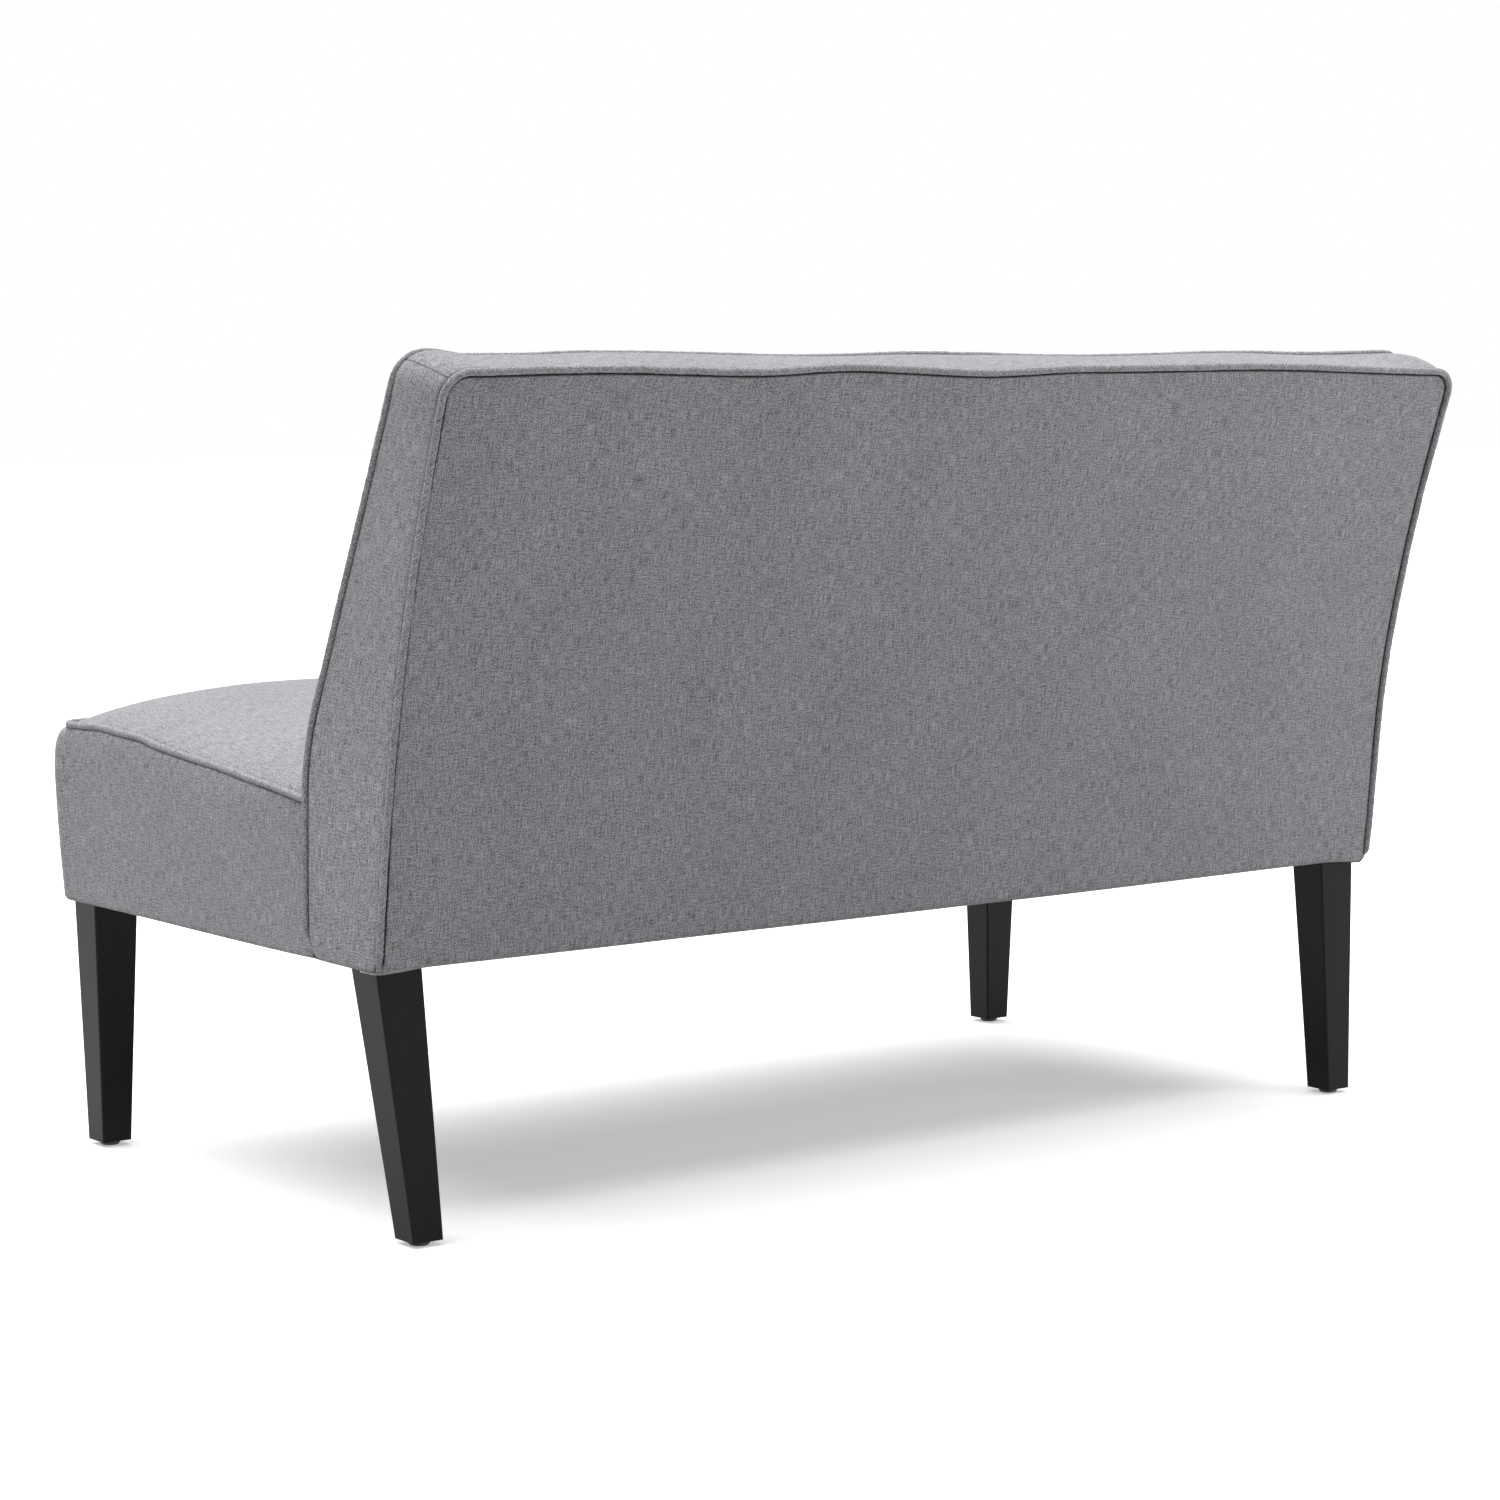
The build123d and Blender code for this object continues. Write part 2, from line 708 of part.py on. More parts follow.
dust_plan = seat_plan(inner_x, frame_front_y, post_foot_rear.Y, inner_corner_radius, underside_height)
dust_cover = extrude(dust_plan, amount=dust_cover_thickness, dir=(0, 0, 1))
for end, (top, foot) in leg_places.items():
    leg = leg_solid(top, foot)
    nail_top = glide_floor + nail_length
    leg -= bar(*foot, glide_height, nail_top + drive_fit, nail_diameter / 2 + drive_fit)
    glide = Pos(*foot, glide_height / 2) * Cylinder(glide_diameter / 2, glide_height)
    glide = chamfer(glide.edges().group_by(Axis.Z)[0], glide_edge)
    glide -= bar(*foot, glide_floor, glide_height, nail_diameter / 2 + drive_fit)
    groups["leg_glides"].append(glide)
    groups["glide_nails"].append(bar(*foot, glide_floor, nail_top, nail_diameter / 2))
    block = pieces[f"left_{end}_corner_block"]
    bolt_x = top[0] - leg_bolt_inset
    for bolt_y in (top[1] - leg_bolt_pitch / 2, top[1] + leg_bolt_pitch / 2):
        insert_foot_z = underside_height - insert_length
        hole_radius = bolt_diameter / 2 + bolt_clearance
        insert_hole = insert_diameter / 2 + drive_fit
        leg -= bar(bolt_x, bolt_y, insert_foot_z - drive_fit, underside_height, insert_hole)
        dust_cover -= bar(bolt_x, bolt_y, underside_height, frame_foot_z, hole_radius)
        dust_cover -= bar(-bolt_x, bolt_y, underside_height, frame_foot_z, hole_radius)
        block -= bar(bolt_x, bolt_y, frame_foot_z, washer_z, hole_radius)
        block -= bar(bolt_x, bolt_y, washer_z, rail_top_z, washer_diameter / 2 + bolt_clearance)
        insert = ring(bolt_x, bolt_y, insert_foot_z, insert_diameter / 2, hole_radius, insert_length)
        washer = ring(bolt_x, bolt_y, washer_z, washer_diameter / 2, hole_radius, washer_thickness)
        head_z = washer_z + washer_thickness
        shank = bar(bolt_x, bolt_y, insert_foot_z + bolt_clearance, head_z, bolt_diameter / 2)
        head = bar(bolt_x, bolt_y, head_z, head_z + bolt_head_height, bolt_head_diameter / 2)
        groups["leg_inserts"].append(insert)
        groups["leg_washers"].append(washer)
        groups["leg_bolts"].append(shank + head)
    pair(f"{end}_corner_block", block)
    pair(f"{end}_leg", leg)
for name, solids in groups.items():
    pieces[name] = solids + [other_side(solid) for solid in solids]
pieces["dust_cover"] = dust_cover

# Bolts that join the seat to the back
joining = {"joining_bolts": [], "joining_washers": [], "joining_nuts": []}
joining_hole = bolt_diameter / 2 + bolt_clearance
joining_bolt_outer = rear_block_inner_x - joining_bolt_block_gap
for bolt_x in (-joining_bolt_outer, -joining_bolt_inner, joining_bolt_inner, joining_bolt_outer):
    along = lambda y: (bolt_x, y, rail_middle_z)
    seat_face_y = rear_rail_front_y
    back_face_y = joining_rail_rear_y
    hole = rod(along(seat_face_y), along(back_face_y), joining_hole)
    drill(hole, "seat_rear_rail", "back_cover_tail", "back_joining_rail")
    nut_y = back_face_y + washer_thickness
    for washer_y in (seat_face_y - washer_thickness, back_face_y):
        washer = rod(along(washer_y), along(washer_y + washer_thickness), washer_diameter / 2)
        washer -= rod(along(washer_y), along(washer_y + washer_thickness), joining_hole)
        joining["joining_washers"].append(washer)
    head_y = seat_face_y - washer_thickness
    head = rod(along(head_y - bolt_head_height), along(head_y), bolt_head_diameter / 2)
    shank = rod(along(head_y), along(nut_y + nut_height + bolt_tip), bolt_diameter / 2)
    nut_outline = RegularPolygon(nut_width / 2, 6, major_radius=False)
    nut = extrude(Plane(along(nut_y), z_dir=(0, 1, 0)) * nut_outline, amount=nut_height)
    nut -= rod(along(nut_y), along(nut_y + nut_height), bolt_diameter / 2 + drive_fit)
    joining["joining_bolts"].append(head + shank)
    joining["joining_nuts"].append(nut)
pieces.update(joining)

# Screws through the posts and side rails into the rails and blocks between them
frame_screws = []


def drive_screw(y, z, outer, inner):
    """One screw from each end, driven inwards from the outer piece's face into the inner piece."""
    for side, (prefix, start) in {1: ("left", inner_x), -1: ("right", -inner_x)}.items():
        tip = start - side * screw_length
        throat = start - side * screw_head_height
        shank = rod((start, y, z), (tip, y, z), screw_diameter / 2)
        cone = Plane((throat, y, z), z_dir=(side, 0, 0))
        head_middle = Pos(0, 0, screw_head_height / 2)
        head = cone * head_middle * Cone(screw_diameter / 2, screw_head_diameter / 2, screw_head_height)
        hole_end = tip - side * drive_fit
        hole = rod((start, y, z), (hole_end, y, z), screw_diameter / 2 + drive_fit)
        sink_base = screw_diameter / 2 + drive_fit
        sink_rim = screw_head_diameter / 2 + drive_fit
        sink = cone * head_middle * Cone(sink_base, sink_rim, screw_head_height)
        into = inner if inner in pieces else f"{prefix}_{inner}"
        drill(hole + sink, f"{prefix}_{outer}", into)
        frame_screws.append(shank + head)


half_pitch = screw_pitch / 2
top_rail_middle = (post_top_front + top_rail_front_foot + top_rail_rear_foot) / 3
lumbar_middle_y = (lower_front_y + ledge_back.Y) / 2
lumbar_middle_z = ledge_z - lumbar_rail_height / 2
block_screw_y = joining_rail_rear_y + screw_pitch
joining_middle_y = (lower_front_y + joining_rail_rear_y) / 2
drive_screw(top_rail_middle.Y, top_rail_middle.Z, "back_post", "back_top_rail")
for offset in (-half_pitch, half_pitch):
    drive_screw(joining_middle_y, rail_middle_z + offset, "back_post", "back_joining_rail")
    drive_screw(seat_rear_y - rail_thickness / 2, rail_middle_z + offset, "seat_rail", "seat_rear_rail")
    drive_screw(block_screw_y + offset, rail_middle_z, "back_post", "rear_corner_block")
drive_screw(lumbar_middle_y, lumbar_middle_z, "back_post", "back_lumbar_rail")
pieces["frame_screws"] = frame_screws

# Dowels where a rail butts against a block or another rail
frame_dowels = []


def add_dowel(middle, direction, *names):
    run = Vector(direction) * (dowel_length / 2)
    spare = Vector(direction) * dowel_spare
    centre = Vector(middle)
    drill(rod(centre - run - spare, centre + run + spare, dowel_diameter / 2 + drive_fit), *names)
    frame_dowels.append(rod(centre - run, centre + run, dowel_diameter / 2))


for offset in (-dowel_pitch / 2, dowel_pitch / 2):
    dowel_z = rail_middle_z + offset
    front_dowel_y = frame_front_y + rail_thickness / 2
    rear_dowel_y = rear_rail_rear_y - rail_thickness / 2
    side_dowel_x = inner_x - rail_thickness / 2
    for side, sign in (("left", 1), ("right", -1)):
        front_block_name = f"{side}_front_corner_block"
        rear_block_name = f"{side}_rear_corner_block"
        front_end = (sign * block_inner_x, front_dowel_y, dowel_z)
        rear_end = (sign * rear_block_inner_x, rear_dowel_y, dowel_z)
        side_end = (sign * side_dowel_x, block_rear_y, dowel_z)
        add_dowel(front_end, (1, 0, 0), "seat_front_rail", front_block_name)
        add_dowel(rear_end, (1, 0, 0), "back_rear_rail", rear_block_name)
        add_dowel(side_end, (0, 1, 0), f"{side}_seat_rail", front_block_name)
stretcher_middle_z = frame_foot_z + stretcher_height / 2
for dowel_y, rail in ((front_rail_rear_y, "seat_front_rail"), (rear_rail_front_y, "seat_rear_rail")):
    add_dowel((0, dowel_y, stretcher_middle_z), (0, 1, 0), "seat_centre_stretcher", rail)
pieces["frame_dowels"] = frame_dowels

# The middle of the footprint goes to the origin
front_reach = seat_front_y - front_bulge
rear_reach = rear_top.Y + welt_radius
to_origin = Pos(0, -(front_reach + rear_reach) / 2, 0)

os.makedirs("parts", exist_ok=True)
for name, piece in pieces.items():
    solids = piece if isinstance(piece, list) else [piece]
    placed = [to_origin * solid for solid in solids]
    whole = placed[0] if len(placed) == 1 else Compound(children=placed)
    export_step(whole, f"parts/{name}.step")
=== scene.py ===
"""Looks of the armless loveseat: covers, pads, welts, buttons, finishes, floor, light and camera."""
import json
import math

import bmesh
import bpy
import numpy as np
from mathutils import Matrix, Quaternion, Vector, noise


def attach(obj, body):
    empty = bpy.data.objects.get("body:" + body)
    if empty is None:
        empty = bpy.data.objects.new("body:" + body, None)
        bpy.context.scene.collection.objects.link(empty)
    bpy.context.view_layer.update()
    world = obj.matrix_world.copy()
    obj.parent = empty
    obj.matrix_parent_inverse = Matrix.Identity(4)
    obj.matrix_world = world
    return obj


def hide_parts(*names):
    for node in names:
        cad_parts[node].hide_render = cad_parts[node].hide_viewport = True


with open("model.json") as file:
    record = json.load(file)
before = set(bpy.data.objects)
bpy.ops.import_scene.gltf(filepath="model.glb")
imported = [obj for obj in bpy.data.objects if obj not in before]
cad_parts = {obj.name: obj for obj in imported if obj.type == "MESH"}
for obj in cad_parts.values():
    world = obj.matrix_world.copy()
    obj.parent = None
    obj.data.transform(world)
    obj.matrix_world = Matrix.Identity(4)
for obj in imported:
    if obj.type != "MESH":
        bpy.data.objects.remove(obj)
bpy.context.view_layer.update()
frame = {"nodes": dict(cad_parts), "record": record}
scene = bpy.context.scene
nodes = frame["nodes"]

# Shapes are drawn in millimetres, with the depth measured from the foot of the outside back
depth_shift = 252.315
to_frame = Matrix.Scale(0.001, 4) @ Matrix.Translation((0, depth_shift, 0))

# Overall
welt_x = 646.5
welt_radius = 3.5
welt_points = 1150
face_rise = 0.5
underside_z = 260.0

# Cloth, in metres
cover_thickness = 0.0016
tail_thickness = 0.001
dust_thickness = 0.0008
thread_pitch = 0.0016

# Back
rear_foot = (-5.0, 259.0)
rear_heel = (0.8, 271.0)
rear_heel_radius = 12.0
rear_bend = (34.4, 540.0)
rear_top = (120.9, 800.0)
rear_bend_radius = 1800.0
rear_corner_radius = 25.0
front_hook = (-111.0, 260.0)
front_heel = (-126.0, 275.0)
front_bend = (-124.0, 449.8)
front_top = (43.9, 815.8)
hook_radius = 18.0
front_bend_radius = 200.0
front_corner_radius = 27.0
rear_top_wave = [
    (640, -0.8), (473, 2.4), (306, -0.3), (195, 4.5), (16, -0.8), (-112, 4.0), (-360, 6.7), (-640, 1.5),
]
front_top_wave = [
    (646, 1.8), (615, 1.2), (575, -3.2), (520, -2.6), (440, 0.4), (190, -2.4), (40, 1.2), (-163, -1.0),
    (-400, 4.2), (-480, 3.2), (-620, 6.0), (-646, 5.0),
]
strip_lift_wave = [
    (646, 0.0), (560, 1.0), (500, 1.0), (430, 0.4), (0, 0.0), (-400, -0.4), (-560, -2.0), (-646, -3.0),
]
side_strip_width = 95.0
top_strip_width = 79.0
side_lift = 0.4
top_lift = 3.4
strip_bulge = 0.6
side_foot_radius = 6.0
strip_foot_z = 255.0
panel_foot = (0.0, 256.4)
panel_foot_radius = 7.0
near_corner_fullness = 2.0
far_corner_fullness = 6.5
corner_spread = 48.0
far_foot_fullness = 6.5

# Seat
seat_rear_y = -121.0
seat_front_y = -613.5
seat_welt_rear_z = 402.3
seat_welt_front_z = 440.5
seat_level_y = -530.0
seat_bend_radius = 420.0
seat_corner_radius = 30.0
seat_welt_wave = [
    (-121, 2.0), (-206, 3.2), (-280, 4.2), (-357, 3.6), (-400, 3.6), (-437, 5.9), (-478, 4.2), (-519, 3.0),
    (-560, 0.6), (-600, 0.0),
]
seat_crown = 41.8
crown_reach = 36.0
shoulder_reach = 42.0
rear_tuck = 13.0
rear_tuck_reach = 26.0
front_bulge = 17.0
side_bulge = 5.0
bulge_z = 398.0
border_rear_y = -124.0
border_foot_radius = 5.5

# Filled pads of the seat and the back
pad_step = 6.0
pad_thickness = 34.0
pad_draw_in = 0.982
held_edge = 5.0
held_rear = 14.0
filling_pressure = 4.0
most_swell = 8.0
seat_weave_contrast = 0.72

# Tufted pad of the back
pad_foot = (-124.0, 404.0)
pad_foot_roll = 7.0
back_crown = 17.0
tufts = [(x, 125.0) for x in (-525, -175, 175, 525)] + [(x, 260.0) for x in (-350, 0, 350)]
tuft_depth = 13.0
tuft_spread = 52.0
button_radius = 12.0
button_hold = 9.0

# Cloths that hardly show: the cover's tail behind the seat and the dust cover underneath
tail_half_width = 640.0
tail_height = 180.0
tail_y = -126.7
tail_foot_z = 264.0
dust_half_width = 634.0
dust_depth = 588.0
dust_front_y = -603.0
dust_sag = 3.0
leg_places = [(590.0, -570.0), (595.0, -45.0)]

# How covers meet their welts: a deep crease on one side of a welt, a shallow seam on the other
crease_depth = 2.2
crease_reach = 4.7
seam_depth = 2.2
seam_reach = 4.5
mitre_depth = 0.35
mitre_reach = 1.2
seam_steps = [0.0, 1.2, 2.4, 3.2, 3.8, 4.4, 5.0, 5.6, 6.2, 7.0, 8.2]


def smooth_step(share):
    """A soft step from 0 to 1."""
    share = min(1.0, max(0.0, share))
    return share * share * (3 - 2 * share)


def wave(table, x):
    """A soft wave through high and low places given along the width."""
    if x >= table[0][0]:
        return table[0][1]
    for (x0, h0), (x1, h1) in zip(table, table[1:]):
        if x >= x1:
            return h0 + (h1 - h0) * smooth_step((x0 - x) / (x0 - x1))
    return table[-1][1]


def evenly(line, count):
    """The line's points spaced evenly."""
    points = np.array([tuple(p) for p in line], float)
    run = np.concatenate([[0], np.cumsum(np.linalg.norm(np.diff(points, axis=0), axis=1))])
    at = np.linspace(0, run[-1], count)
    return [Vector(p) for p in np.stack([np.interp(at, run, points[:, k]) for k in range(3)], axis=1)]


def bent_line(points, radii):
    """Straight runs with rounded corners."""
    points = [Vector(p) for p in points]
    line = [points[0]]
    for before, corner, after, radius in zip(points, points[1:], points[2:], radii):
        arrive = (corner - before).normalized()
        leave = (after - corner).normalized()
        turn = arrive.angle(leave)
        start = corner - arrive * radius * math.tan(turn / 2)
        axis = arrive.cross(leave).normalized()
        middle = start + axis.cross(arrive) * radius
        line += [middle + Quaternion(axis, turn * k / 16) @ (start - middle) for k in range(17)]
    return line + [points[-1]]


class Route:
    """A line that can be read at any distance along it."""

    def __init__(self, line):
        self.points = np.array([tuple(p) for p in line], float)
        steps = np.linalg.norm(np.diff(self.points, axis=0), axis=1)
        self.run = np.concatenate([[0], np.cumsum(steps)])
        self.length = self.run[-1]

    def at(self, distance):
        return Vector([np.interp(distance, self.run, self.points[:, k]) for k in range(3)])

    def along(self, distance):
        return (self.at(min(distance + 3, self.length)) - self.at(max(distance - 3, 0))).normalized()

    def nearest(self, place):
        return self.run[np.argmin(np.linalg.norm(self.points - np.array(place), axis=1))]


def back_route(side_points, radii, table):
    """A back welt's line on the +X half: up the side, round the corner and along the top to the middle."""
    corner = side_points[-1]
    points = [(welt_x, y, z) for y, z in side_points] + [(0, *corner)]
    line = evenly(bent_line(points, radii), 700)
    lean = Vector((0, corner[0] - side_points[-2][0], corner[1] - side_points[-2][1])).normalized()
    return line, lean, (welt_x, *corner), table


def waved(point, lean, corner, table):
    """A point of the back's top edge, moved along the lean by the wave there."""
    share = smooth_step((point.z - corner[2] + 70) / 60)
    return point + lean * wave(table, point.x) * share


def mirror_line(line):
    """A line on the +X half, taken over to the other half and run back from the middle."""
    return [Vector((-p.x, p.y, p.z)) for p in reversed(line)]


def whole_route(half):
    """A back welt's line from one end to the other, with its top edge waved."""
    line, lean, corner, table = half
    return [waved(p, lean, corner, table) for p in line[:-1] + mirror_line(line)]


front_half = back_route(
    [front_hook, front_heel, front_bend, front_top],
    [hook_radius, front_bend_radius, front_corner_radius],
    front_top_wave,
)
rear_half = back_route(
    [rear_foot, rear_heel, rear_bend, rear_top],
    [rear_heel_radius, rear_bend_radius, rear_corner_radius],
    rear_top_wave,
)
front_welt_line = whole_route(front_half)
rear_welt_line = whole_route(rear_half)
seat_side_points = [
    (welt_x, seat_rear_y, seat_welt_rear_z),
    (welt_x, seat_level_y, seat_welt_front_z),
    (welt_x, seat_front_y, seat_welt_front_z),
]
seat_side = Route(bent_line(seat_side_points, [seat_bend_radius]))


def seat_welt_z(y, from_side=0.0):
    """The seat welt's height; its unevenness fades away from the side."""
    line = float(np.interp(-y, -seat_side.points[:, 1], seat_side.points[:, 2]))
    return line + wave(seat_welt_wave, y) * math.exp(-from_side / 90)


seat_plan = bent_line(
    [(welt_x, seat_rear_y, 0), (welt_x, seat_front_y, 0), (0, seat_front_y, 0)], [seat_corner_radius]
)
seat_welt_line = [
    Vector((p.x, p.y, seat_welt_z(p.y))) for p in evenly(seat_plan[:-1] + mirror_line(seat_plan), 1400)
]


def seam_dip(distance):
    """How far a cover dips on the shallow side of its welt."""
    return -seam_depth * math.exp(-distance / seam_reach)


def crease_dip(distance):
    """How far a cover dips on the creased side of its welt."""
    return -crease_depth * math.exp(-((distance / crease_reach) ** 4))


def crease_painted_shade(distance, width):
    """How much painted shade a crease gets: full beside its welt, gone past the width."""
    return 1 - smooth_step((distance - width + 1.2) / 1.6)


def pucker(along, distance, strength=0.3, reach=11.0):
    """Small gathers that fade away from a seam."""
    swing = math.sin(along / 2.3 + 2.2 * noise.noise((along / 37, 3.1, 0)))
    return strength * swing * math.exp(-distance / reach) * (0.6 + 0.7 * noise.noise((along / 61, 9.4, 0)))


def ease(place, scale=140.0, height=0.7):
    """The slow unevenness of a filled cover."""
    return height * noise.noise(Vector(place) / scale)


def far_foot_spread(place):
    """How far the cover stands out at the foot of the back's far end."""
    low = smooth_step((500 - place.z) / 220) * smooth_step((place.z - 250) / 6)
    return far_foot_fullness * low * smooth_step((-place.x - 450) / 190) * smooth_step((place.y + 110) / 90)


# Building pieces


def spaced(length, fine, coarse, first=(0.0,)):
    """Distances along a length, fine beside the seams and coarser between them."""
    out = list(first)
    while out[-1] < length / 2:
        out.append(out[-1] + min(coarse, fine + 0.28 * (out[-1] - first[-1])))
    half = [d * (length / 2) / out[-1] for d in out]
    return half + [length - d for d in reversed(half[:-1])]


def cover_grid(across, along, place, dark=None, width=1.0, turned=False):
    """A sheet of cover: each point of a grid goes where place says, and keeps its measure of cloth.

    The places across are shares of the width. A turned sheet has its weave laid the other way. Where dark is
    given, it sets each point's painted shade, kept in an attribute that darkens the cloth's colour.
    """
    bm = bmesh.new()
    # Painted shade of creases and seams, one value for each point
    shade = bm.verts.layers.float.new("seam_painted_shade")
    bmesh.ops.create_grid(bm, x_segments=len(across) - 1, y_segments=len(along) - 1, size=0.5)
    measure = {}
    for v in bm.verts:
        a = across[round((v.co.x + 0.5) * (len(across) - 1))]
        b = along[round((v.co.y + 0.5) * (len(along) - 1))]
        spread = (a * width * 0.001, b * 0.001)
        measure[v.index] = spread[::-1] if turned else spread
        v.co = place(a, b)
        v[shade] = dark(a, b) if dark else 0.0
    weave = bm.loops.layers.uv.new("weave")
    for face in bm.faces:
        for loop in face.loops:
            loop[weave].uv = measure[loop.vert.index]
    return bm


def face_out(bm, heart):
    """Turns a sheet's faces away from a point inside the loveseat."""
    bm.normal_update()
    turned = sum((f.calc_center_median() - Vector(heart)).dot(f.normal) * f.calc_area() for f in bm.faces)
    if turned < 0:
        bmesh.ops.reverse_faces(bm, faces=bm.faces[:])


def make_piece(name, bm, material, stands_for):
    """A finished piece in the shared frame."""
    for v in bm.verts:
        v.co.x -= far_foot_spread(v.co)
    bmesh.ops.transform(bm, matrix=to_frame, verts=bm.verts[:])
    mesh = bpy.data.meshes.new(name)
    bm.to_mesh(mesh)
    bm.free()
    mesh.polygons.foreach_set("use_smooth", [True] * len(mesh.polygons))
    mesh.materials.append(material)
    piece = bpy.data.objects.new(name, mesh)
    scene.collection.objects.link(piece)
    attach(piece, "root")
    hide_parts(*stands_for)
    return piece


def give_thickness(piece, thickness=cover_thickness):
    """Makes a sheet as thick as its cloth, inwards."""
    wall = piece.modifiers.new("cloth_thickness", "SOLIDIFY")
    wall.thickness = thickness
    wall.offset = -1


def smooth_once(piece):
    """Softens a pad's surface."""
    soften = piece.modifiers.new("soft_surface", "SUBSURF")
    soften.levels = 1
    soften.render_levels = 1


def swell(name, bm, held):
    """Fills a cover: cloth pressure swells it between its held points, up to the most that it may move."""
    mesh = bpy.data.meshes.new(name + "_filling")
    bm.verts.index_update()
    rest = np.array([v.co for v in bm.verts], float)
    bm.to_mesh(mesh)
    mesh.transform(Matrix.Scale(0.001, 4))
    pad = bpy.data.objects.new(name + "_filling", mesh)
    scene.collection.objects.link(pad)
    group = pad.vertex_groups.new(name="held")
    group.add(held, 1.0, "REPLACE")
    filling = pad.modifiers.new("filling", "CLOTH")
    filling.settings.quality = 5
    filling.settings.mass = 0.0006
    filling.settings.tension_stiffness = 12
    filling.settings.compression_stiffness = 12
    filling.settings.shear_stiffness = 6
    filling.settings.bending_stiffness = 0.4
    filling.settings.use_pressure = True
    filling.settings.uniform_pressure_force = filling_pressure
    filling.settings.effector_weights.gravity = 0
    filling.settings.vertex_group_mass = "held"
    filling.collision_settings.use_collision = False
    filling.point_cache.frame_start = 1
    filling.point_cache.frame_end = 20
    for step in range(1, 21):
        scene.frame_set(step)
    shown = pad.evaluated_get(bpy.context.evaluated_depsgraph_get()).data
    filled = np.zeros(len(rest) * 3)
    shown.vertices.foreach_get("co", filled)
    moved = filled.reshape(-1, 3) * 1000 - rest
    length = np.linalg.norm(moved, axis=1, keepdims=True)
    print("swell", name, "moved", round(float(length.max()), 2), "mm, mean", round(float(length.mean()), 2))
    moved = moved * (most_swell * np.tanh(length / most_swell) / np.maximum(length, 1e-9))
    for v, shift in zip(bm.verts, moved):
        v.co += Vector(shift)
    bpy.data.objects.remove(pad)
    bpy.data.meshes.remove(mesh)
    scene.frame_set(1)


def close_under(bm, shift):
    """Closes a pad's sheet into a solid form: a copy of it is moved by shift, with the rim between."""
    made = bmesh.ops.extrude_face_region(bm, geom=bm.faces[:], use_keep_orig=True)
    under = [v for v in made["geom"] if isinstance(v, bmesh.types.BMVert)]
    for v in under:
        v.co = shift(v.co)
    bmesh.ops.recalc_face_normals(bm, faces=bm.faces[:])


# Finishes


def finish(name, color, roughness, **settings):
    """A new material, with its node tree and its shader."""
    material = bpy.data.materials.new(name)
    material.use_nodes = True
    tree = material.node_tree
    shader = tree.nodes["Principled BSDF"]
    shader.inputs["Base Color"].default_value = (*color, 1)
    shader.inputs["Roughness"].default_value = roughness
    for socket, value in settings.items():
        shader.inputs[socket.replace("_", " ")].default_value = value
    return material, tree, shader


def add(tree, kind, inputs=None, **settings):
    """A node with its settings, and its inputs linked or set."""
    made = tree.nodes.new("ShaderNode" + kind)
    for key, value in settings.items():
        setattr(made, key, value)
    for key, value in (inputs or {}).items():
        if isinstance(value, bpy.types.NodeSocket):
            tree.links.new(value, made.inputs[key])
        else:
            made.inputs[key].default_value = value
    return made


def math_node(tree, operation, first, second=0.0, third=None):
    """One step of arithmetic on values."""
    inputs = {0: first, 1: second}
    if third is not None:
        inputs[2] = third
    return add(tree, "Math", inputs, operation=operation).outputs[0]


def stretched(tree, vector, scale, turn=(0, 0, 0)):
    """A pattern's places, scaled and turned."""
    return add(tree, "Mapping", {"Vector": vector, "Scale": scale, "Rotation": turn}).outputs[0]


def speckle(tree, vector, detail=2.0, roughness=0.5):
    """A soft random value."""
    inputs = {"Vector": vector, "Scale": 1.0, "Detail": detail, "Roughness": roughness}
    return add(tree, "TexNoise", inputs).outputs["Fac"]


def ramp(tree, value, low, high, low_color, high_color):
    """A colour that goes from one to another as a value rises."""
    made = add(tree, "ValToRGB", {"Fac": value})
    made.color_ramp.elements[0].position = low
    made.color_ramp.elements[1].position = high
    made.color_ramp.elements[0].color = (*low_color, 1)
    made.color_ramp.elements[1].color = (*high_color, 1)
    return made.outputs["Color"]


def blend(tree, first, first_share, second, second_share):
    """The sum of two values by their shares."""
    second_part = math_node(tree, "MULTIPLY", second, second_share)
    return math_node(tree, "MULTIPLY_ADD", first, first_share, second_part)


def tinted(tree, color, by):
    """A colour times another colour or tone."""
    inputs = {"Factor": 1.0, 6: color, 7: by}
    return add(tree, "Mix", inputs, data_type="RGBA", blend_type="MULTIPLY").outputs[2]


def surface(tree, shader, color, height, bump, rough_from, rough):
    """Gives a finish its colour, its bump (strength, and distance in metres) and its range of roughness."""
    tree.links.new(color, shader.inputs["Base Color"])
    bumped = add(tree, "Bump", {"Height": height, "Strength": bump[0], "Distance": bump[1]})
    tree.links.new(bumped.outputs["Normal"], shader.inputs["Normal"])
    ranged = add(tree, "MapRange", {"Value": rough_from, "To Min": rough[0], "To Max": rough[1]})
    tree.links.new(ranged.outputs[0], shader.inputs["Roughness"])


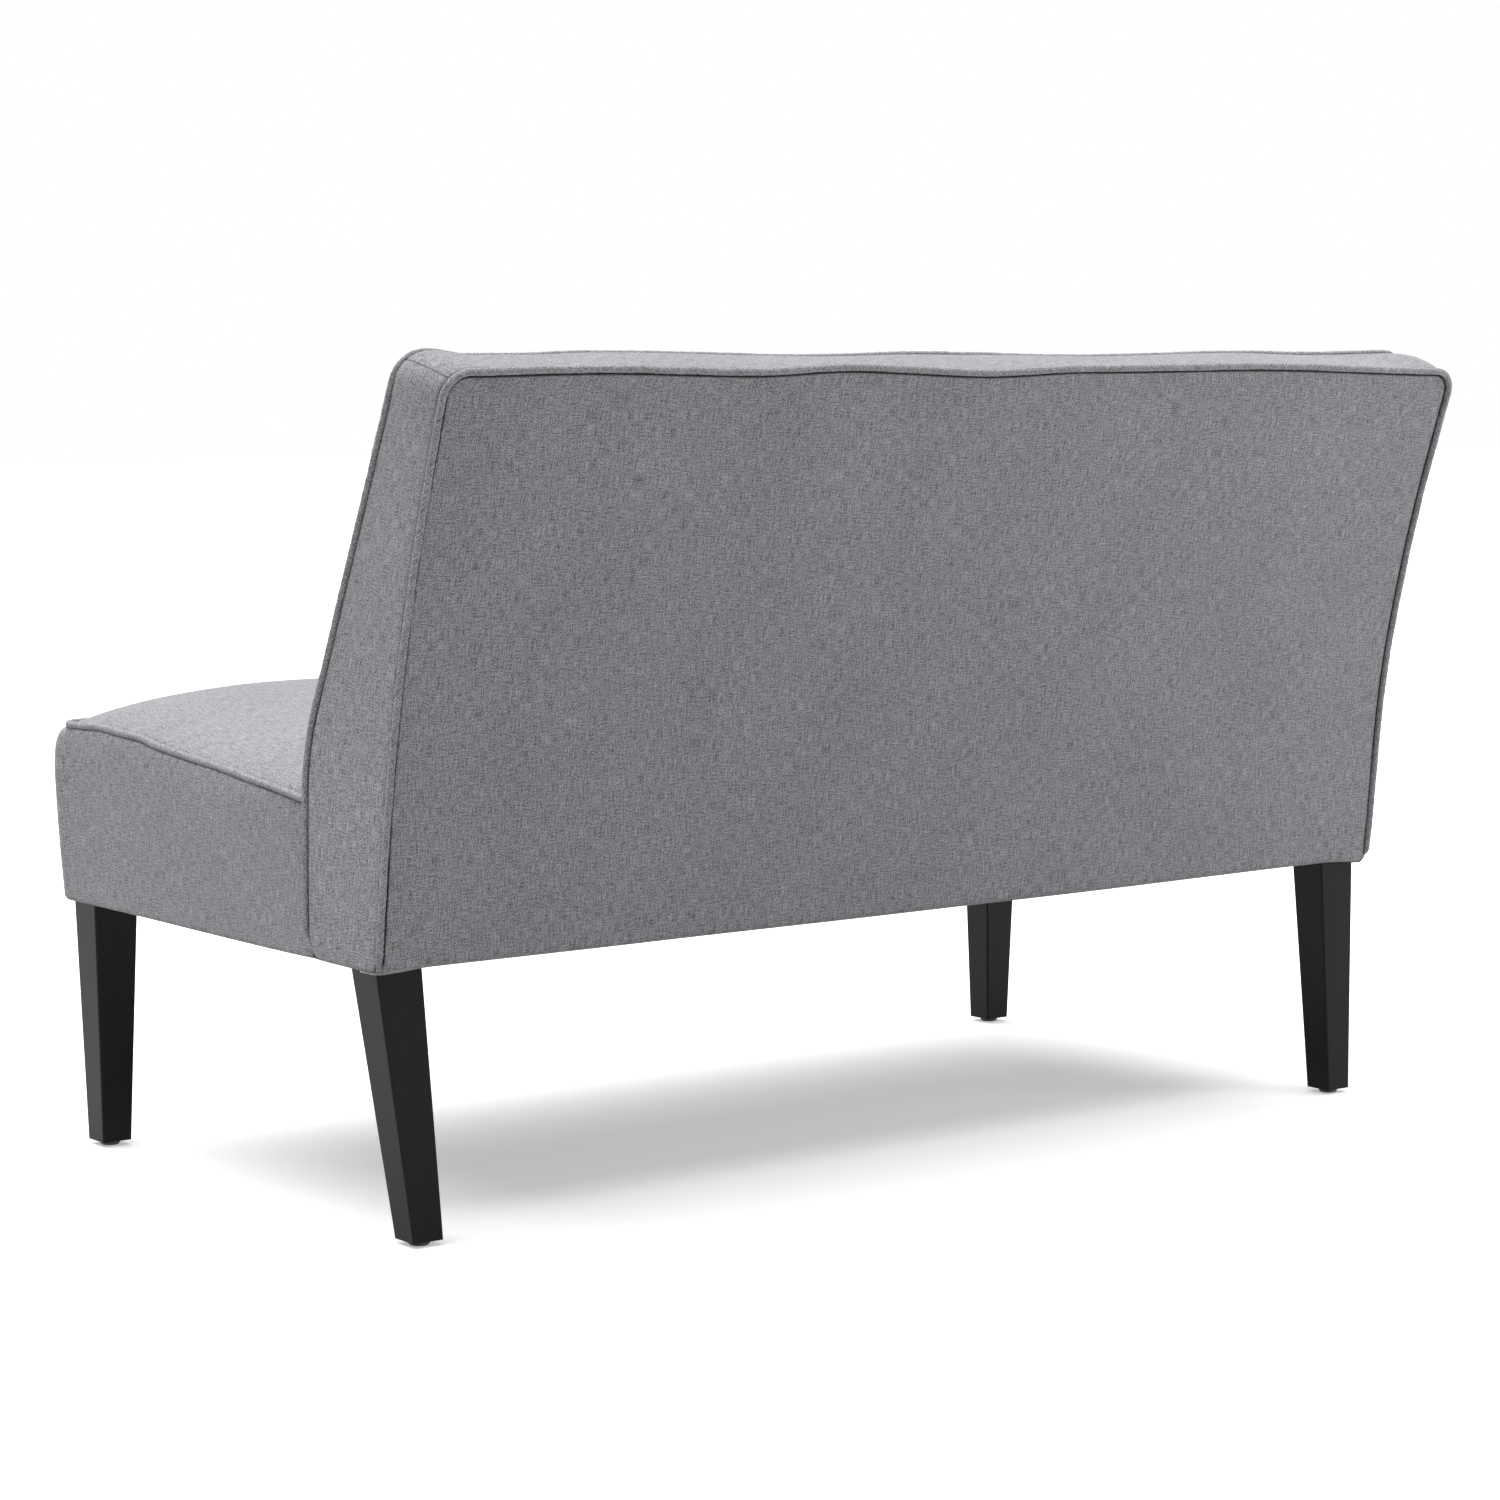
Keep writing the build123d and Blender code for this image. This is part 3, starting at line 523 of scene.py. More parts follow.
def heather_weave(name, tone, turn=0.0, contrast=1.0):
    """Grey heathered plain weave: slubbed warp and weft yarns of mixed tone, on the cloth's own measure,
    darkened by painted shade in creases and seams.
    """
    material, tree, shader = finish(
        name, tone, 0.88, Sheen_Weight=0.12, Sheen_Roughness=0.45, Specular_IOR_Level=0.25
    )
    uv = add(tree, "UVMap", uv_map="weave").outputs["UV"]
    uv = stretched(tree, uv, (1, 1, 1), (0, 0, turn))
    warp = speckle(tree, stretched(tree, uv, (800, 65, 1)))
    weft = speckle(tree, stretched(tree, uv, (80, 800, 1)))
    flecks = speckle(tree, stretched(tree, uv, (760, 730, 1)))
    clouds = speckle(tree, stretched(tree, uv, (9, 7, 1)), 3.0, 0.55)
    split = add(tree, "SeparateXYZ", {0: uv})
    wave_u, wave_v = [
        math_node(tree, "SINE", math_node(tree, "MULTIPLY", split.outputs[axis], 2 * math.pi / thread_pitch))
        for axis in "XY"
    ]
    over = math_node(tree, "MULTIPLY", wave_u, wave_v)
    on_top = math_node(tree, "MULTIPLY_ADD", over, 1.6, 0.5)
    on_top = add(tree, "Clamp", {"Value": on_top}).outputs[0]
    yarn = blend(tree, warp, 0.27, weft, 0.22)
    value = math_node(tree, "MULTIPLY_ADD", flecks, 0.51, yarn)
    dark = tuple(c * (1 - 0.66 * contrast) for c in tone)
    light = tuple(c * (1 + 0.64 * contrast) for c in tone)
    color = ramp(tree, value, 0.40, 0.60, dark, light)
    cloudy = ramp(tree, clouds, 0.3, 0.7, (0.94, 0.94, 0.945), (1.05, 1.05, 1.05))
    # Painted shade: each point's crease and seam shade value darkens the cloth's colour, down to 7% at full
    # shade
    crease = add(tree, "Attribute", attribute_name="seam_painted_shade").outputs["Fac"]
    crease = math_node(tree, "MULTIPLY_ADD", crease, -0.93, 1.0)
    color = tinted(tree, tinted(tree, color, cloudy), crease)
    round_u = math_node(tree, "ABSOLUTE", wave_u)
    round_v = math_node(tree, "ABSOLUTE", wave_v)
    height = add(tree, "Mix", {"Factor": on_top, "A": round_u, "B": round_v}, data_type="FLOAT").outputs[0]
    height = math_node(tree, "MULTIPLY_ADD", value, 1.4, height)
    surface(tree, shader, color, height, (0.45, 0.0005), value, (0.94, 0.82))
    return material


def grained_wood(name, dark, light, roughness, grain, along=2, **settings):
    """Wood with its grain along one axis of the loveseat."""
    material, tree, shader = finish(name, light, roughness, **settings)
    place = add(tree, "TexCoord").outputs["Object"]
    scale = [grain, grain, grain]
    scale[along] = grain / 22
    lines = speckle(tree, stretched(tree, place, scale), 5.0, 0.62)
    rings = speckle(tree, stretched(tree, place, [s / 7 for s in scale]))
    value = blend(tree, lines, 0.6, rings, 0.4)
    color = ramp(tree, value, 0.35, 0.65, dark, light)
    surface(tree, shader, color, value, (0.12, 0.0004), lines, (roughness - 0.06, roughness + 0.08))
    return material


def mottled(name, dark, light, roughness, scale, bump_mm, stretch=(1, 1, 1), **settings):
    """A plain material with a fine broken tone and surface."""
    material, tree, shader = finish(name, light, roughness, **settings)
    place = add(tree, "TexCoord").outputs["Object"]
    value = speckle(tree, stretched(tree, place, [scale * s for s in stretch]), 4.0, 0.6)
    color = ramp(tree, value, 0.35, 0.65, dark, light)
    surface(tree, shader, color, value, (0.5, bump_mm * 0.001), value, (roughness - 0.05, roughness + 0.05))
    return material


grey = (0.335, 0.332, 0.350)
cover_fabric = heather_weave("grey_heather_cover", grey)
seat_fabric = heather_weave("grey_heather_seat", grey, contrast=seat_weave_contrast)
# Painted light: the welt is the cover's own cloth, made 5% lighter so that the tube looks more lit
welt_fabric = heather_weave("grey_heather_welt_painted_lighter", tuple(c * 1.05 for c in grey), math.radians(45))
black_wood = grained_wood(
    "black_satin_wood", (0.004, 0.004, 0.0042), (0.007, 0.007, 0.0073), 0.34, 260, Specular_IOR_Level=0.125
)
finishes = {
    "cover_fabric": cover_fabric,
    "welt_fabric": welt_fabric,
    "leg_wood": black_wood,
    "glide_plastic": mottled("grey_brown_plastic", (0.13, 0.12, 0.11), (0.17, 0.155, 0.145), 0.5, 300, 0.05),
    "frame_wood": grained_wood("pine_frame", (0.42, 0.29, 0.17), (0.62, 0.47, 0.31), 0.62, 120, along=0),
    "foam": mottled("cream_foam", (0.72, 0.66, 0.47), (0.84, 0.80, 0.64), 0.95, 420, 0.6),
    "webbing": mottled(
        "woven_webbing", (0.10, 0.095, 0.09), (0.20, 0.19, 0.175), 0.9, 700, 0.3, stretch=(1, 0.15, 1)
    ),
    "lining_cloth": mottled("black_lining", (0.012, 0.012, 0.013), (0.030, 0.030, 0.032), 0.9, 800, 0.12),
    "liner_board": mottled(
        "liner_cardboard", (0.36, 0.27, 0.17), (0.50, 0.40, 0.27), 0.85, 240, 0.1, stretch=(1, 1, 0.2)
    ),
    "steel": mottled("zinced_steel", (0.52, 0.52, 0.54), (0.66, 0.66, 0.67), 0.34, 500, 0.03, Metallic=1.0),
}
for subpart in frame["record"]["subparts"]:
    node = nodes[subpart["node"]]
    node.data.materials.clear()
    node.data.materials.append(finishes[subpart["material_slot"]])


# Welts


def welt(name, line, node, seed):
    """A fabric tube over its cord, along a line, with the small unevenness of sewing."""
    points = evenly(line, welt_points)
    curve = bpy.data.curves.new(name + "_line", "CURVE")
    curve.dimensions = "3D"
    curve.bevel_depth = welt_radius * 0.001
    curve.bevel_resolution = 4
    curve.use_fill_caps = True
    spline = curve.splines.new("POLY")
    spline.points.add(len(points) - 1)
    for k, (point, p) in enumerate(zip(spline.points, points)):
        run = k * 2.0
        drift = Vector([noise.noise((run / 34, seed, axis * 7.3)) for axis in range(3)])
        tuck = smooth_step((270 - p.z) / 11)
        sink = Vector((math.copysign(2.5 * tuck, -p.x), 0, 0))
        point.co = (*(to_frame @ (p + drift * 0.45 + sink)), 1)
        point.radius = 1 + 0.05 * noise.noise((run / 15, seed, 40)) + 0.03 * math.sin(run / 2.1) - 0.6 * tuck
    holder = bpy.data.objects.new(name + "_line", curve)
    scene.collection.objects.link(holder)
    mesh = bpy.data.meshes.new_from_object(holder.evaluated_get(bpy.context.evaluated_depsgraph_get()))
    bpy.data.objects.remove(holder)
    bm = bmesh.new()
    bm.from_mesh(mesh)
    bpy.data.meshes.remove(mesh)
    ring = round(len(bm.verts) / welt_points)
    spacing = (points[1] - points[0]).length * 0.001
    weave = bm.loops.layers.uv.new("weave")
    girth = 2 * math.pi * welt_radius * 0.001
    for face in bm.faces:
        turns = [loop.vert.index % ring for loop in face.loops]
        wraps = max(turns) - min(turns) > ring / 2
        for loop, turn in zip(face.loops, turns):
            turn = turn + ring if wraps and turn < ring / 2 else turn
            loop[weave].uv = (girth * turn / ring, spacing * (loop.vert.index // ring))
    bmesh.ops.remove_doubles(bm, verts=bm.verts[:], dist=1e-6)
    bmesh.ops.recalc_face_normals(bm, faces=bm.faces[:])
    bmesh.ops.transform(bm, matrix=to_frame.inverted(), verts=bm.verts[:])
    return make_piece(name, bm, welt_fabric, [node])


welt("seat_welt_cord", seat_welt_line, "seat_welt", 1.7)
welt("back_front_welt_cord", front_welt_line, "back_front_welt", 5.2)
welt("back_rear_welt_cord", rear_welt_line, "back_rear_welt", 8.9)

# Boxing of the back: a strip up each side and one along the top, mitred at the corners


def mitred(half, line):
    """A back welt's whole line, and how far along it the strips' mitre is."""
    route = Route(line)
    return route, route.nearest(waved(Vector(half[2]), *half[1:]))


front_whole, front_cut = mitred(front_half, front_welt_line)
rear_whole, rear_cut = mitred(rear_half, rear_welt_line)


def strip_place(which):
    """How a boxing strip lies between the two welts' lines: its places, its length and its painted seam
    shade.
    """
    top = which == "top"

    def ends(route, cut):
        if top:
            return cut, route.length - cut
        return (0, cut) if which == "left" else (route.length, route.length - cut)

    front_from, front_to = ends(front_whole, front_cut)
    rear_from, rear_to = ends(rear_whole, rear_cut)
    length = (abs(front_to - front_from) + abs(rear_to - rear_from)) / 2
    mitres = [0, length] if top else [length]

    def both_at(b):
        share = min(1, max(0, b / length))
        return front_from + (front_to - front_from) * share, rear_from + (rear_to - rear_from) * share

    def place(a, b):
        front_at, rear_at = both_at(b)
        front_point, rear_point = front_whole.at(front_at), rear_whole.at(rear_at)
        run = (front_whole.along(front_at) + rear_whole.along(rear_at)).normalized()
        over = rear_point - front_point
        out = run.cross(over).normalized()
        if out.dot(front_point - Vector((0, front_point.y, 300))) < 0:
            out = -out
        width = over.length
        near_front, near_rear = a * width, (1 - a) * width
        near = min(near_front, near_rear)
        fold = 1.0 if top else smooth_step((b - 4) / 10)
        rise = crease_dip(near_front) * fold + seam_dip(near_rear) + strip_bulge * (1 - math.exp(-near / 26))
        lift = top_lift + wave(strip_lift_wave, front_point.x)
        if not top:
            lift = side_lift + (lift - side_lift) * math.exp(-(((b - length) / 26) ** 2))
        rise += lift * (1 - math.exp(-near_front / 6)) * (1 - 0.6 * a)
        rise += pucker(b + (500 if a < 0.5 else 0), near) + ease(front_point + over * a)
        for mitre in mitres:
            rise -= mitre_depth * math.exp(-abs(b - mitre) / mitre_reach)
            fullness = near_corner_fullness if front_point.x > 0 else far_corner_fullness
            rise += fullness * math.sin(math.pi * a) * math.exp(-(((b - mitre) / corner_spread) ** 2))
        spot = front_point + over * a + out * rise
        if not top:
            spot.x -= math.copysign(foot_turn(b, side_foot_radius), spot.x)
            spot.z = strip_foot_z if b <= 0 else max(spot.z, strip_foot_z)
            spot.z -= (underside_z - strip_foot_z) * smooth_step((40 - b) / 40) if b > 0 else 0
        return spot

    # Painted shade: a dark crease beside the front welt, a soft painted shadow band beside the rear welt and
    # a dark line along the mitres
    def dark(a, b):
        front_at, rear_at = both_at(b)
        width = (rear_whole.at(rear_at) - front_whole.at(front_at)).length
        corner = min(abs(b - mitre) for mitre in mitres)
        shade = crease_painted_shade(a * width, 6.4) * smooth_step((corner - 12) / 30)
        if not top:
            shade *= smooth_step((b + 2) / 8)
        from_rear = (1 - a) * width
        shade = max(shade, 0.75 * math.exp(-((max(0.0, from_rear - 3.5) / 4.2) ** 2)))
        return max(shade, 0.6 * math.exp(-((corner / 0.7) ** 2)))

    return place, length, dark


def foot_turn(above, radius):
    """How far a cover is drawn in where it turns under at its foot."""
    if above <= 0:
        return radius - above
    if above < radius:
        return radius - math.sqrt(radius**2 - (radius - above) ** 2)
    return 0.0


def shares(width, fine, coarse):
    """Places across a strip, as shares of its width."""
    return [d / width for d in spaced(width, fine, coarse, seam_steps)]


mitre_steps = (0.0, 0.15)
under_rows = [-16.0, -10.0, -5.0, 0.0, 0.5, 1.2, 2.2, 3.5, 5.0]
for which in ("left", "right"):
    side_place, side_length, side_painted_shade = strip_place(which)
    side_rows = under_rows + [d for d in spaced(side_length, 1.1, 5.5, mitre_steps) if d > 6]
    bm = cover_grid(shares(side_strip_width, 1.2, 4.5), side_rows, side_place, side_painted_shade, side_strip_width)
    face_out(bm, (0, -40, 500))
    border_node = which + "_back_side_border"
    strip = make_piece(which + "_back_side_strip", bm, cover_fabric, [border_node])
    give_thickness(strip)

top_place, top_length, top_painted_shade = strip_place("top")
top_rows = spaced(top_length, 1.1, 5.5, mitre_steps)
bm = cover_grid(shares(top_strip_width, 1.2, 4.5), top_rows, top_place, top_painted_shade, top_strip_width)
face_out(bm, (0, 60, 500))
top_strip = make_piece("back_top_strip", bm, cover_fabric, ["back_top_border"])
give_thickness(top_strip)

# Outside back
rear_side = Route(bent_line([(0, *panel_foot), (0, *rear_bend), (0, *rear_top)], [rear_bend_radius]))


def rounded_edge(to_edge, radius):
    """Half the width of a panel at a distance from its edge with the rounded corners."""
    if to_edge >= radius:
        return welt_x
    return welt_x - radius + math.sqrt(max(0, radius**2 - (radius - to_edge) ** 2))


def edge_distance(x, to_top, radius):
    """How far a point of a panel with rounded top corners is from its edge."""
    past_x, past_top = abs(x) - welt_x + radius, radius - to_top
    if past_x > 0 and past_top > 0:
        return radius - math.hypot(past_x, past_top)
    return min(welt_x - abs(x), to_top)


def outside_back_place(a, b):
    """The outside back at a share of its half width and a height from its foot."""
    height = max(b, 0)
    half = rounded_edge(rear_side.length - height, rear_corner_radius)
    x = a * half
    near_side = half - abs(x)
    near_top = rear_side.length - height
    near = edge_distance(x, near_top, rear_corner_radius)
    lift = wave(rear_top_wave, x) * smooth_step((height - rear_side.length + 160) / 160)
    spot = rear_side.at(height)
    up = rear_side.along(height)
    out = Vector((0, up.z, -up.y))
    rise = crease_dip(near) - 0.6 + 2.2 * (1 - math.exp(-max(0, near) / 110))
    seam_run = height if near_side < near_top else x
    rise += pucker(seam_run, near) + ease((x, height, 20), 190, 1.0) * (1 - math.exp(-near / 60))
    spot = Vector((x, spot.y, spot.z)) + out * rise + up * lift
    spot.y -= foot_turn(b, panel_foot_radius)
    low = 2.0 * smooth_step((-x - 100) / 500) - 2.8 * smooth_step((abs(x) - 585) / 55)
    spot.z += low * smooth_step((60 - b) / 60)
    return spot


def outside_back_painted_shade(a, b):
    """How much painted shade darkens the outside back's crease beside its welt."""
    height = max(b, 0)
    half = rounded_edge(rear_side.length - height, rear_corner_radius)
    width = 5.6 + 0.9 * smooth_step((170 - height) / 110) + 0.8 * smooth_step((height - 440) / 60)
    width = 6.4 if a < 0 or abs(a) * half < 0.9 * welt_x else width
    near = edge_distance(a * half, rear_side.length - height, rear_corner_radius)
    return crease_painted_shade(near, width) * smooth_step((b - 4) / 10)


panel_rows = [-22.0, -14.0, -7.0, 0.0, 0.5, 1.2, 2.4, 3.8, 5.4]
panel_rows += [d for d in spaced(rear_side.length, 1.2, 6.0, seam_steps) if d > 6.5]
panel_columns = [d / welt_x - 1 for d in spaced(2 * welt_x, 1.2, 6.0, seam_steps)]
bm = cover_grid(panel_columns, panel_rows, outside_back_place, outside_back_painted_shade, welt_x)
face_out(bm, (0, -60, 500))
outside_back = make_piece("outside_back_cover", bm, cover_fabric, ["outside_back_panel"])
give_thickness(outside_back)

# Seat border, round both sides and the front
border_corners = [
    (welt_x, border_rear_y, 0),
    (welt_x, seat_front_y, 0),
    (-welt_x, seat_front_y, 0),
    (-welt_x, border_rear_y, 0),
]
border_plan = Route(evenly(bent_line(border_corners, [seat_corner_radius, seat_corner_radius]), 1600))
front_side = Route([p for p in front_welt_line if p.x > 640 and p.z < 460])


def border_place(a, b):
    """The seat border at a share of its height, from the welt down, and a run round the seat."""
    spot = border_plan.at(b)
    run = border_plan.along(b)
    out = Vector((run.y, -run.x, 0))
    if out.dot(spot - Vector((0, -350, 0))) < 0:
        out = -out
    facing_front = smooth_step(abs(out.y) / 0.75)
    top_z = seat_welt_z(spot.y)
    foot_z = 257.5 - 2.0 * smooth_step((spot.y + 560) / 400)
    below = min(a, 1.0) * (top_z - foot_z)
    z = top_z - below
    above = z - foot_z
    bulge = side_bulge + (front_bulge - side_bulge) * facing_front
    low = max(0.0, (bulge_z - z) / (bulge_z - underside_z))
    full = (1 - math.exp(-below / 9.5)) * (1 - 0.56 * low**1.25)
    from_rear = min(b, border_plan.length - b)
    rise = face_rise + bulge * full * (1 - math.exp(-(from_rear + 1) / 40))
    rise += crease_dip(below) + seam_dip(from_rear)
    rise += pucker(b, below, 0.5, 16) + pucker(z, from_rear) + ease(spot + Vector((0, 0, z)), 120, 0.9)
    foot = foot_turn(above, border_foot_radius) if a <= 1 else border_foot_radius + (a - 1) * 140
    spot += out * (rise - foot)
    spot.z = z
    hook = np.interp(z, front_side.points[:, 2], front_side.points[:, 1]) - border_rear_y
    spot.y += hook * math.exp(-from_rear / 18)
    return spot


def border_painted_shade(a, b):
    """How much painted shade darkens the seat border's creases below the welt and at the back."""
    below = min(a, 1.0) * (seat_welt_z(border_plan.at(b).y) - underside_z)
    from_rear = min(b, border_plan.length - b)
    return max(0.4 * crease_painted_shade(below, 4.5), 0.45 * crease_painted_shade(from_rear, 3.0))


border_height = seat_welt_front_z - underside_z
border_rows = [d / border_height for d in spaced(border_height, 1.2, 5.0, seam_steps)] + [1.05, 1.1, 1.15]
border_columns = spaced(border_plan.length, 1.1, 5.5)
bm = cover_grid(border_rows, border_columns, border_place, border_painted_shade, border_height, turned=True)
face_out(bm, (0, -350, 350))
border = make_piece(
    "seat_border_cover", bm, cover_fabric, ["seat_border", "front_rail_padding"]
)
give_thickness(border)

# Seat top
seat_depth = seat_rear_y - seat_front_y
seat_depth_steps = round(seat_depth / pad_step)
pad_width_steps = round(2 * welt_x / pad_step)
pad_columns = [2 * k / pad_width_steps - 1 for k in range(pad_width_steps + 1)]


def seat_edge(from_front):
    """Half the seat's width at a distance from its front."""
    return rounded_edge(from_front, seat_corner_radius)


def shoulder(distance):
    """How full a pad is at a distance from its side: none at the welt, all further in."""
    return 1 - math.exp(-max(0, distance) / shoulder_reach)


def seat_place(a, b):
    """The crowned seat top at a share of its half width and a distance from its front."""
    half = seat_edge(b)
    x = a * half
    y = seat_front_y + b
    rise = seat_crown * shoulder(half - abs(x)) * (1 - math.exp(-(b + 2) / crown_reach))
    near_rear = seat_depth - b
    rise -= rear_tuck * max(0, 1 - near_rear / rear_tuck_reach) ** 2
    near = min(half - abs(x), b)
    rise += 0.6 * seam_dip(near)
    return Vector((x, y, seat_welt_z(y, half - abs(x)) + face_rise + rise))


seat_rows = [seat_depth * k / seat_depth_steps for k in range(seat_depth_steps + 1)]
bm = cover_grid(pad_columns, seat_rows, seat_place, width=welt_x)
face_out(bm, (0, -350, 200))
held = []
for v in bm.verts:
    near = min(seat_edge(v.co.y - seat_front_y) - abs(v.co.x), v.co.y - seat_front_y)
    if near < held_edge or seat_rear_y - v.co.y < held_rear:
        held.append(v.index)
swell("seat_top", bm, held)
for v in bm.verts:
    half = seat_edge(v.co.y - seat_front_y)
    near_side, near_front = half - abs(v.co.x), v.co.y - seat_front_y
    near = min(near_side, near_front)
    run = v.co.y if near_side < near_front else v.co.x
    v.co.z += pucker(run, near, 0.5, 15) + ease(v.co, 160, 1.2)
close_under(
    bm,
    lambda p: Vector((p.x * pad_draw_in, p.y + (6 if p.y < -560 else 0), seat_welt_z(p.y) - pad_thickness)),
)
seat_top = make_piece("seat_top_pad", bm, seat_fabric, ["seat_top_cover", "seat_foam"])
smooth_once(seat_top)

# Tufted front of the back
pad_bends = bent_line([(0, *front_top), (0, *front_bend), (0, *pad_foot)], [front_bend_radius])
pad_line = Route(evenly(pad_bends, 400))
pad_down_steps = round(pad_line.length / pad_step)


def pad_point(x, down, rise):
    """A point over the back's front line, and the way out from it there."""
    spot = pad_line.at(down)
    run = pad_line.along(down)
    out = Vector((0, run.z, -run.y))
    lift = wave(front_top_wave, x) * smooth_step((150 - down) / 150)
    return Vector((x, spot.y, spot.z)) + out * rise - run * lift, out


def pad_rise(x, down):
    """How full the back's pad is, with the roll at its foot that meets the seat."""
    half = rounded_edge(down, front_corner_radius)
    side = shoulder(half - abs(x))
    ends = (1 - math.exp(-(down + 2) / 55)) * (1 - math.exp(-(max(0, 412 - down) + 14) / 55))
    roll = pad_foot_roll * smooth_step((down - pad_line.length + 78) / 42)
    roll *= 1 - math.exp(-max(0, half - abs(x)) / 2.5)
    return back_crown * side * ends + roll


def tuft_pull(x, down):
    """How far the buttons draw the back's pad in."""
    pull = 0.0
    for tuft_x, tuft_down in tufts:
        apart = math.hypot(x - tuft_x, down - tuft_down)
        pull += tuft_depth * math.exp(-((apart / tuft_spread) ** 1.4) * 2.1)
    return pull


def pad_place(a, b):
    """The back's pad at a share of its half width and a distance down from its top."""
    half = rounded_edge(b, front_corner_radius)
    x = a * half
    near = min(half - abs(x), b)
    rise = face_rise + pad_rise(x, b) + 0.6 * seam_dip(near) - tuft_pull(x, b)
    return pad_point(x, b, rise)[0]


pad_rows = [pad_line.length * k / pad_down_steps for k in range(pad_down_steps + 1)]
bm = cover_grid(pad_columns, pad_rows, pad_place, width=welt_x)
weave = bm.loops.layers.uv["weave"]
down_of = {}
for face in bm.faces:
    for loop in face.loops:
        down_of[loop.vert.index] = loop[weave].uv.y * 1000
face_out(bm, (0, 200, 560))
held = []
for v in bm.verts:
    down = down_of[v.index]
    near = min(rounded_edge(down, front_corner_radius) - abs(v.co.x), down, pad_line.length - down)
    button = min(math.hypot(v.co.x - tx, down - td) for tx, td in tufts)
    if near < held_edge or button < button_hold:
        held.append(v.index)
swell("back_pad", bm, held)
for v in bm.verts:
    down = down_of[v.index]
    near_side = rounded_edge(down, front_corner_radius) - abs(v.co.x)
    near = min(near_side, down)
    run = down if near_side < down else v.co.x
    v.co.y -= pucker(run, near, 0.5, 15) + ease(v.co, 150, 1.0)
close_under(bm, lambda p: Vector((p.x * pad_draw_in, p.y + pad_thickness, p.z - 14)))
back_pad = make_piece("back_front_pad", bm, cover_fabric, ["back_front_cover", "back_foam"])
smooth_once(back_pad)

# Covered buttons
bm = bmesh.new()
weave = bm.loops.layers.uv.new("weave")
for x, down in tufts:
    spot, out = pad_point(x, down, face_rise + pad_rise(x, down) - tuft_pull(x, down) + 0.5)
    made = bmesh.ops.create_uvsphere(bm, u_segments=40, v_segments=20, radius=button_radius)
    for v in made["verts"]:
        flat = 0.42 if v.co.z > 0 else 0.3
        v.co.z *= flat
        v.co.z += 0.12 * math.sin(12 * math.atan2(v.co.y, v.co.x)) * smooth_step((v.co.xy.length - 8) / 4)
    turn = out.to_track_quat("Z", "Y").to_matrix().to_4x4()
    for face in {f for v in made["verts"] for f in v.link_faces}:
        for loop in face.loops:
            loop[weave].uv = (loop.vert.co.x * 0.001, loop.vert.co.y * 0.001)
    bmesh.ops.transform(bm, matrix=Matrix.Translation(spot + out * 2.5) @ turn, verts=made["verts"])
make_piece("tuft_covered_buttons", bm, cover_fabric, ["tuft_buttons"])

# Tail of the back's cover, behind the seat


def tail_place(a, b):
    """The tail at a share of its half width and a height from its foot."""
    uneven = 0.4 * noise.noise((a * 9, b / 60, 0))
    return Vector((a * tail_half_width, tail_y + uneven, tail_foot_z + b))


tail_columns = [d / welt_x - 1 for d in spaced(2 * welt_x, 6, 24)]
bm = cover_grid(tail_columns, spaced(tail_height, 4, 8), tail_place, width=welt_x)
tail = make_piece("back_cover_tail_cloth", bm, finishes["lining_cloth"], ["back_cover_tail"])
give_thickness(tail, tail_thickness)

# Dust cover


def dust_place(a, b):
    """The dust cover: it sags a little between the legs and has a hem at its edge."""
    x, y = a * dust_half_width, dust_front_y + b
    sag = dust_sag * max(0, 1 - abs(a) ** 4) * math.sin(math.pi * min(1, max(0, b / dust_depth)))
    from_leg = min(math.hypot(abs(x) - leg_x, y - leg_y) for leg_x, leg_y in leg_places)
    hem = 0.7 * smooth_step((14 - min(dust_half_width - abs(x), b, dust_depth - b)) / 2)
    return Vector((x, y, underside_z - 0.1 - sag * smooth_step((from_leg - 45) / 120) - hem))


dust_columns = [d / dust_half_width - 1 for d in spaced(2 * dust_half_width, 3, 14)]
bm = cover_grid(dust_columns, spaced(dust_depth, 3, 14), dust_place, width=dust_half_width)
face_out(bm, (0, -300, 400))
dust = make_piece("dust_cover_cloth", bm, finishes["lining_cloth"], ["dust_cover"])
give_thickness(dust, dust_thickness)

# Floor, light and camera


def seen_rays(tree):
    """1 on rays that show a surface straight, in gloss or through glass, and 0 on all others."""
    path = add(tree, "LightPath")
    seen = math_node(tree, "MAXIMUM", path.outputs["Is Camera Ray"], path.outputs["Is Glossy Ray"])
    return math_node(tree, "MAXIMUM", seen, path.outputs["Is Transmission Ray"])


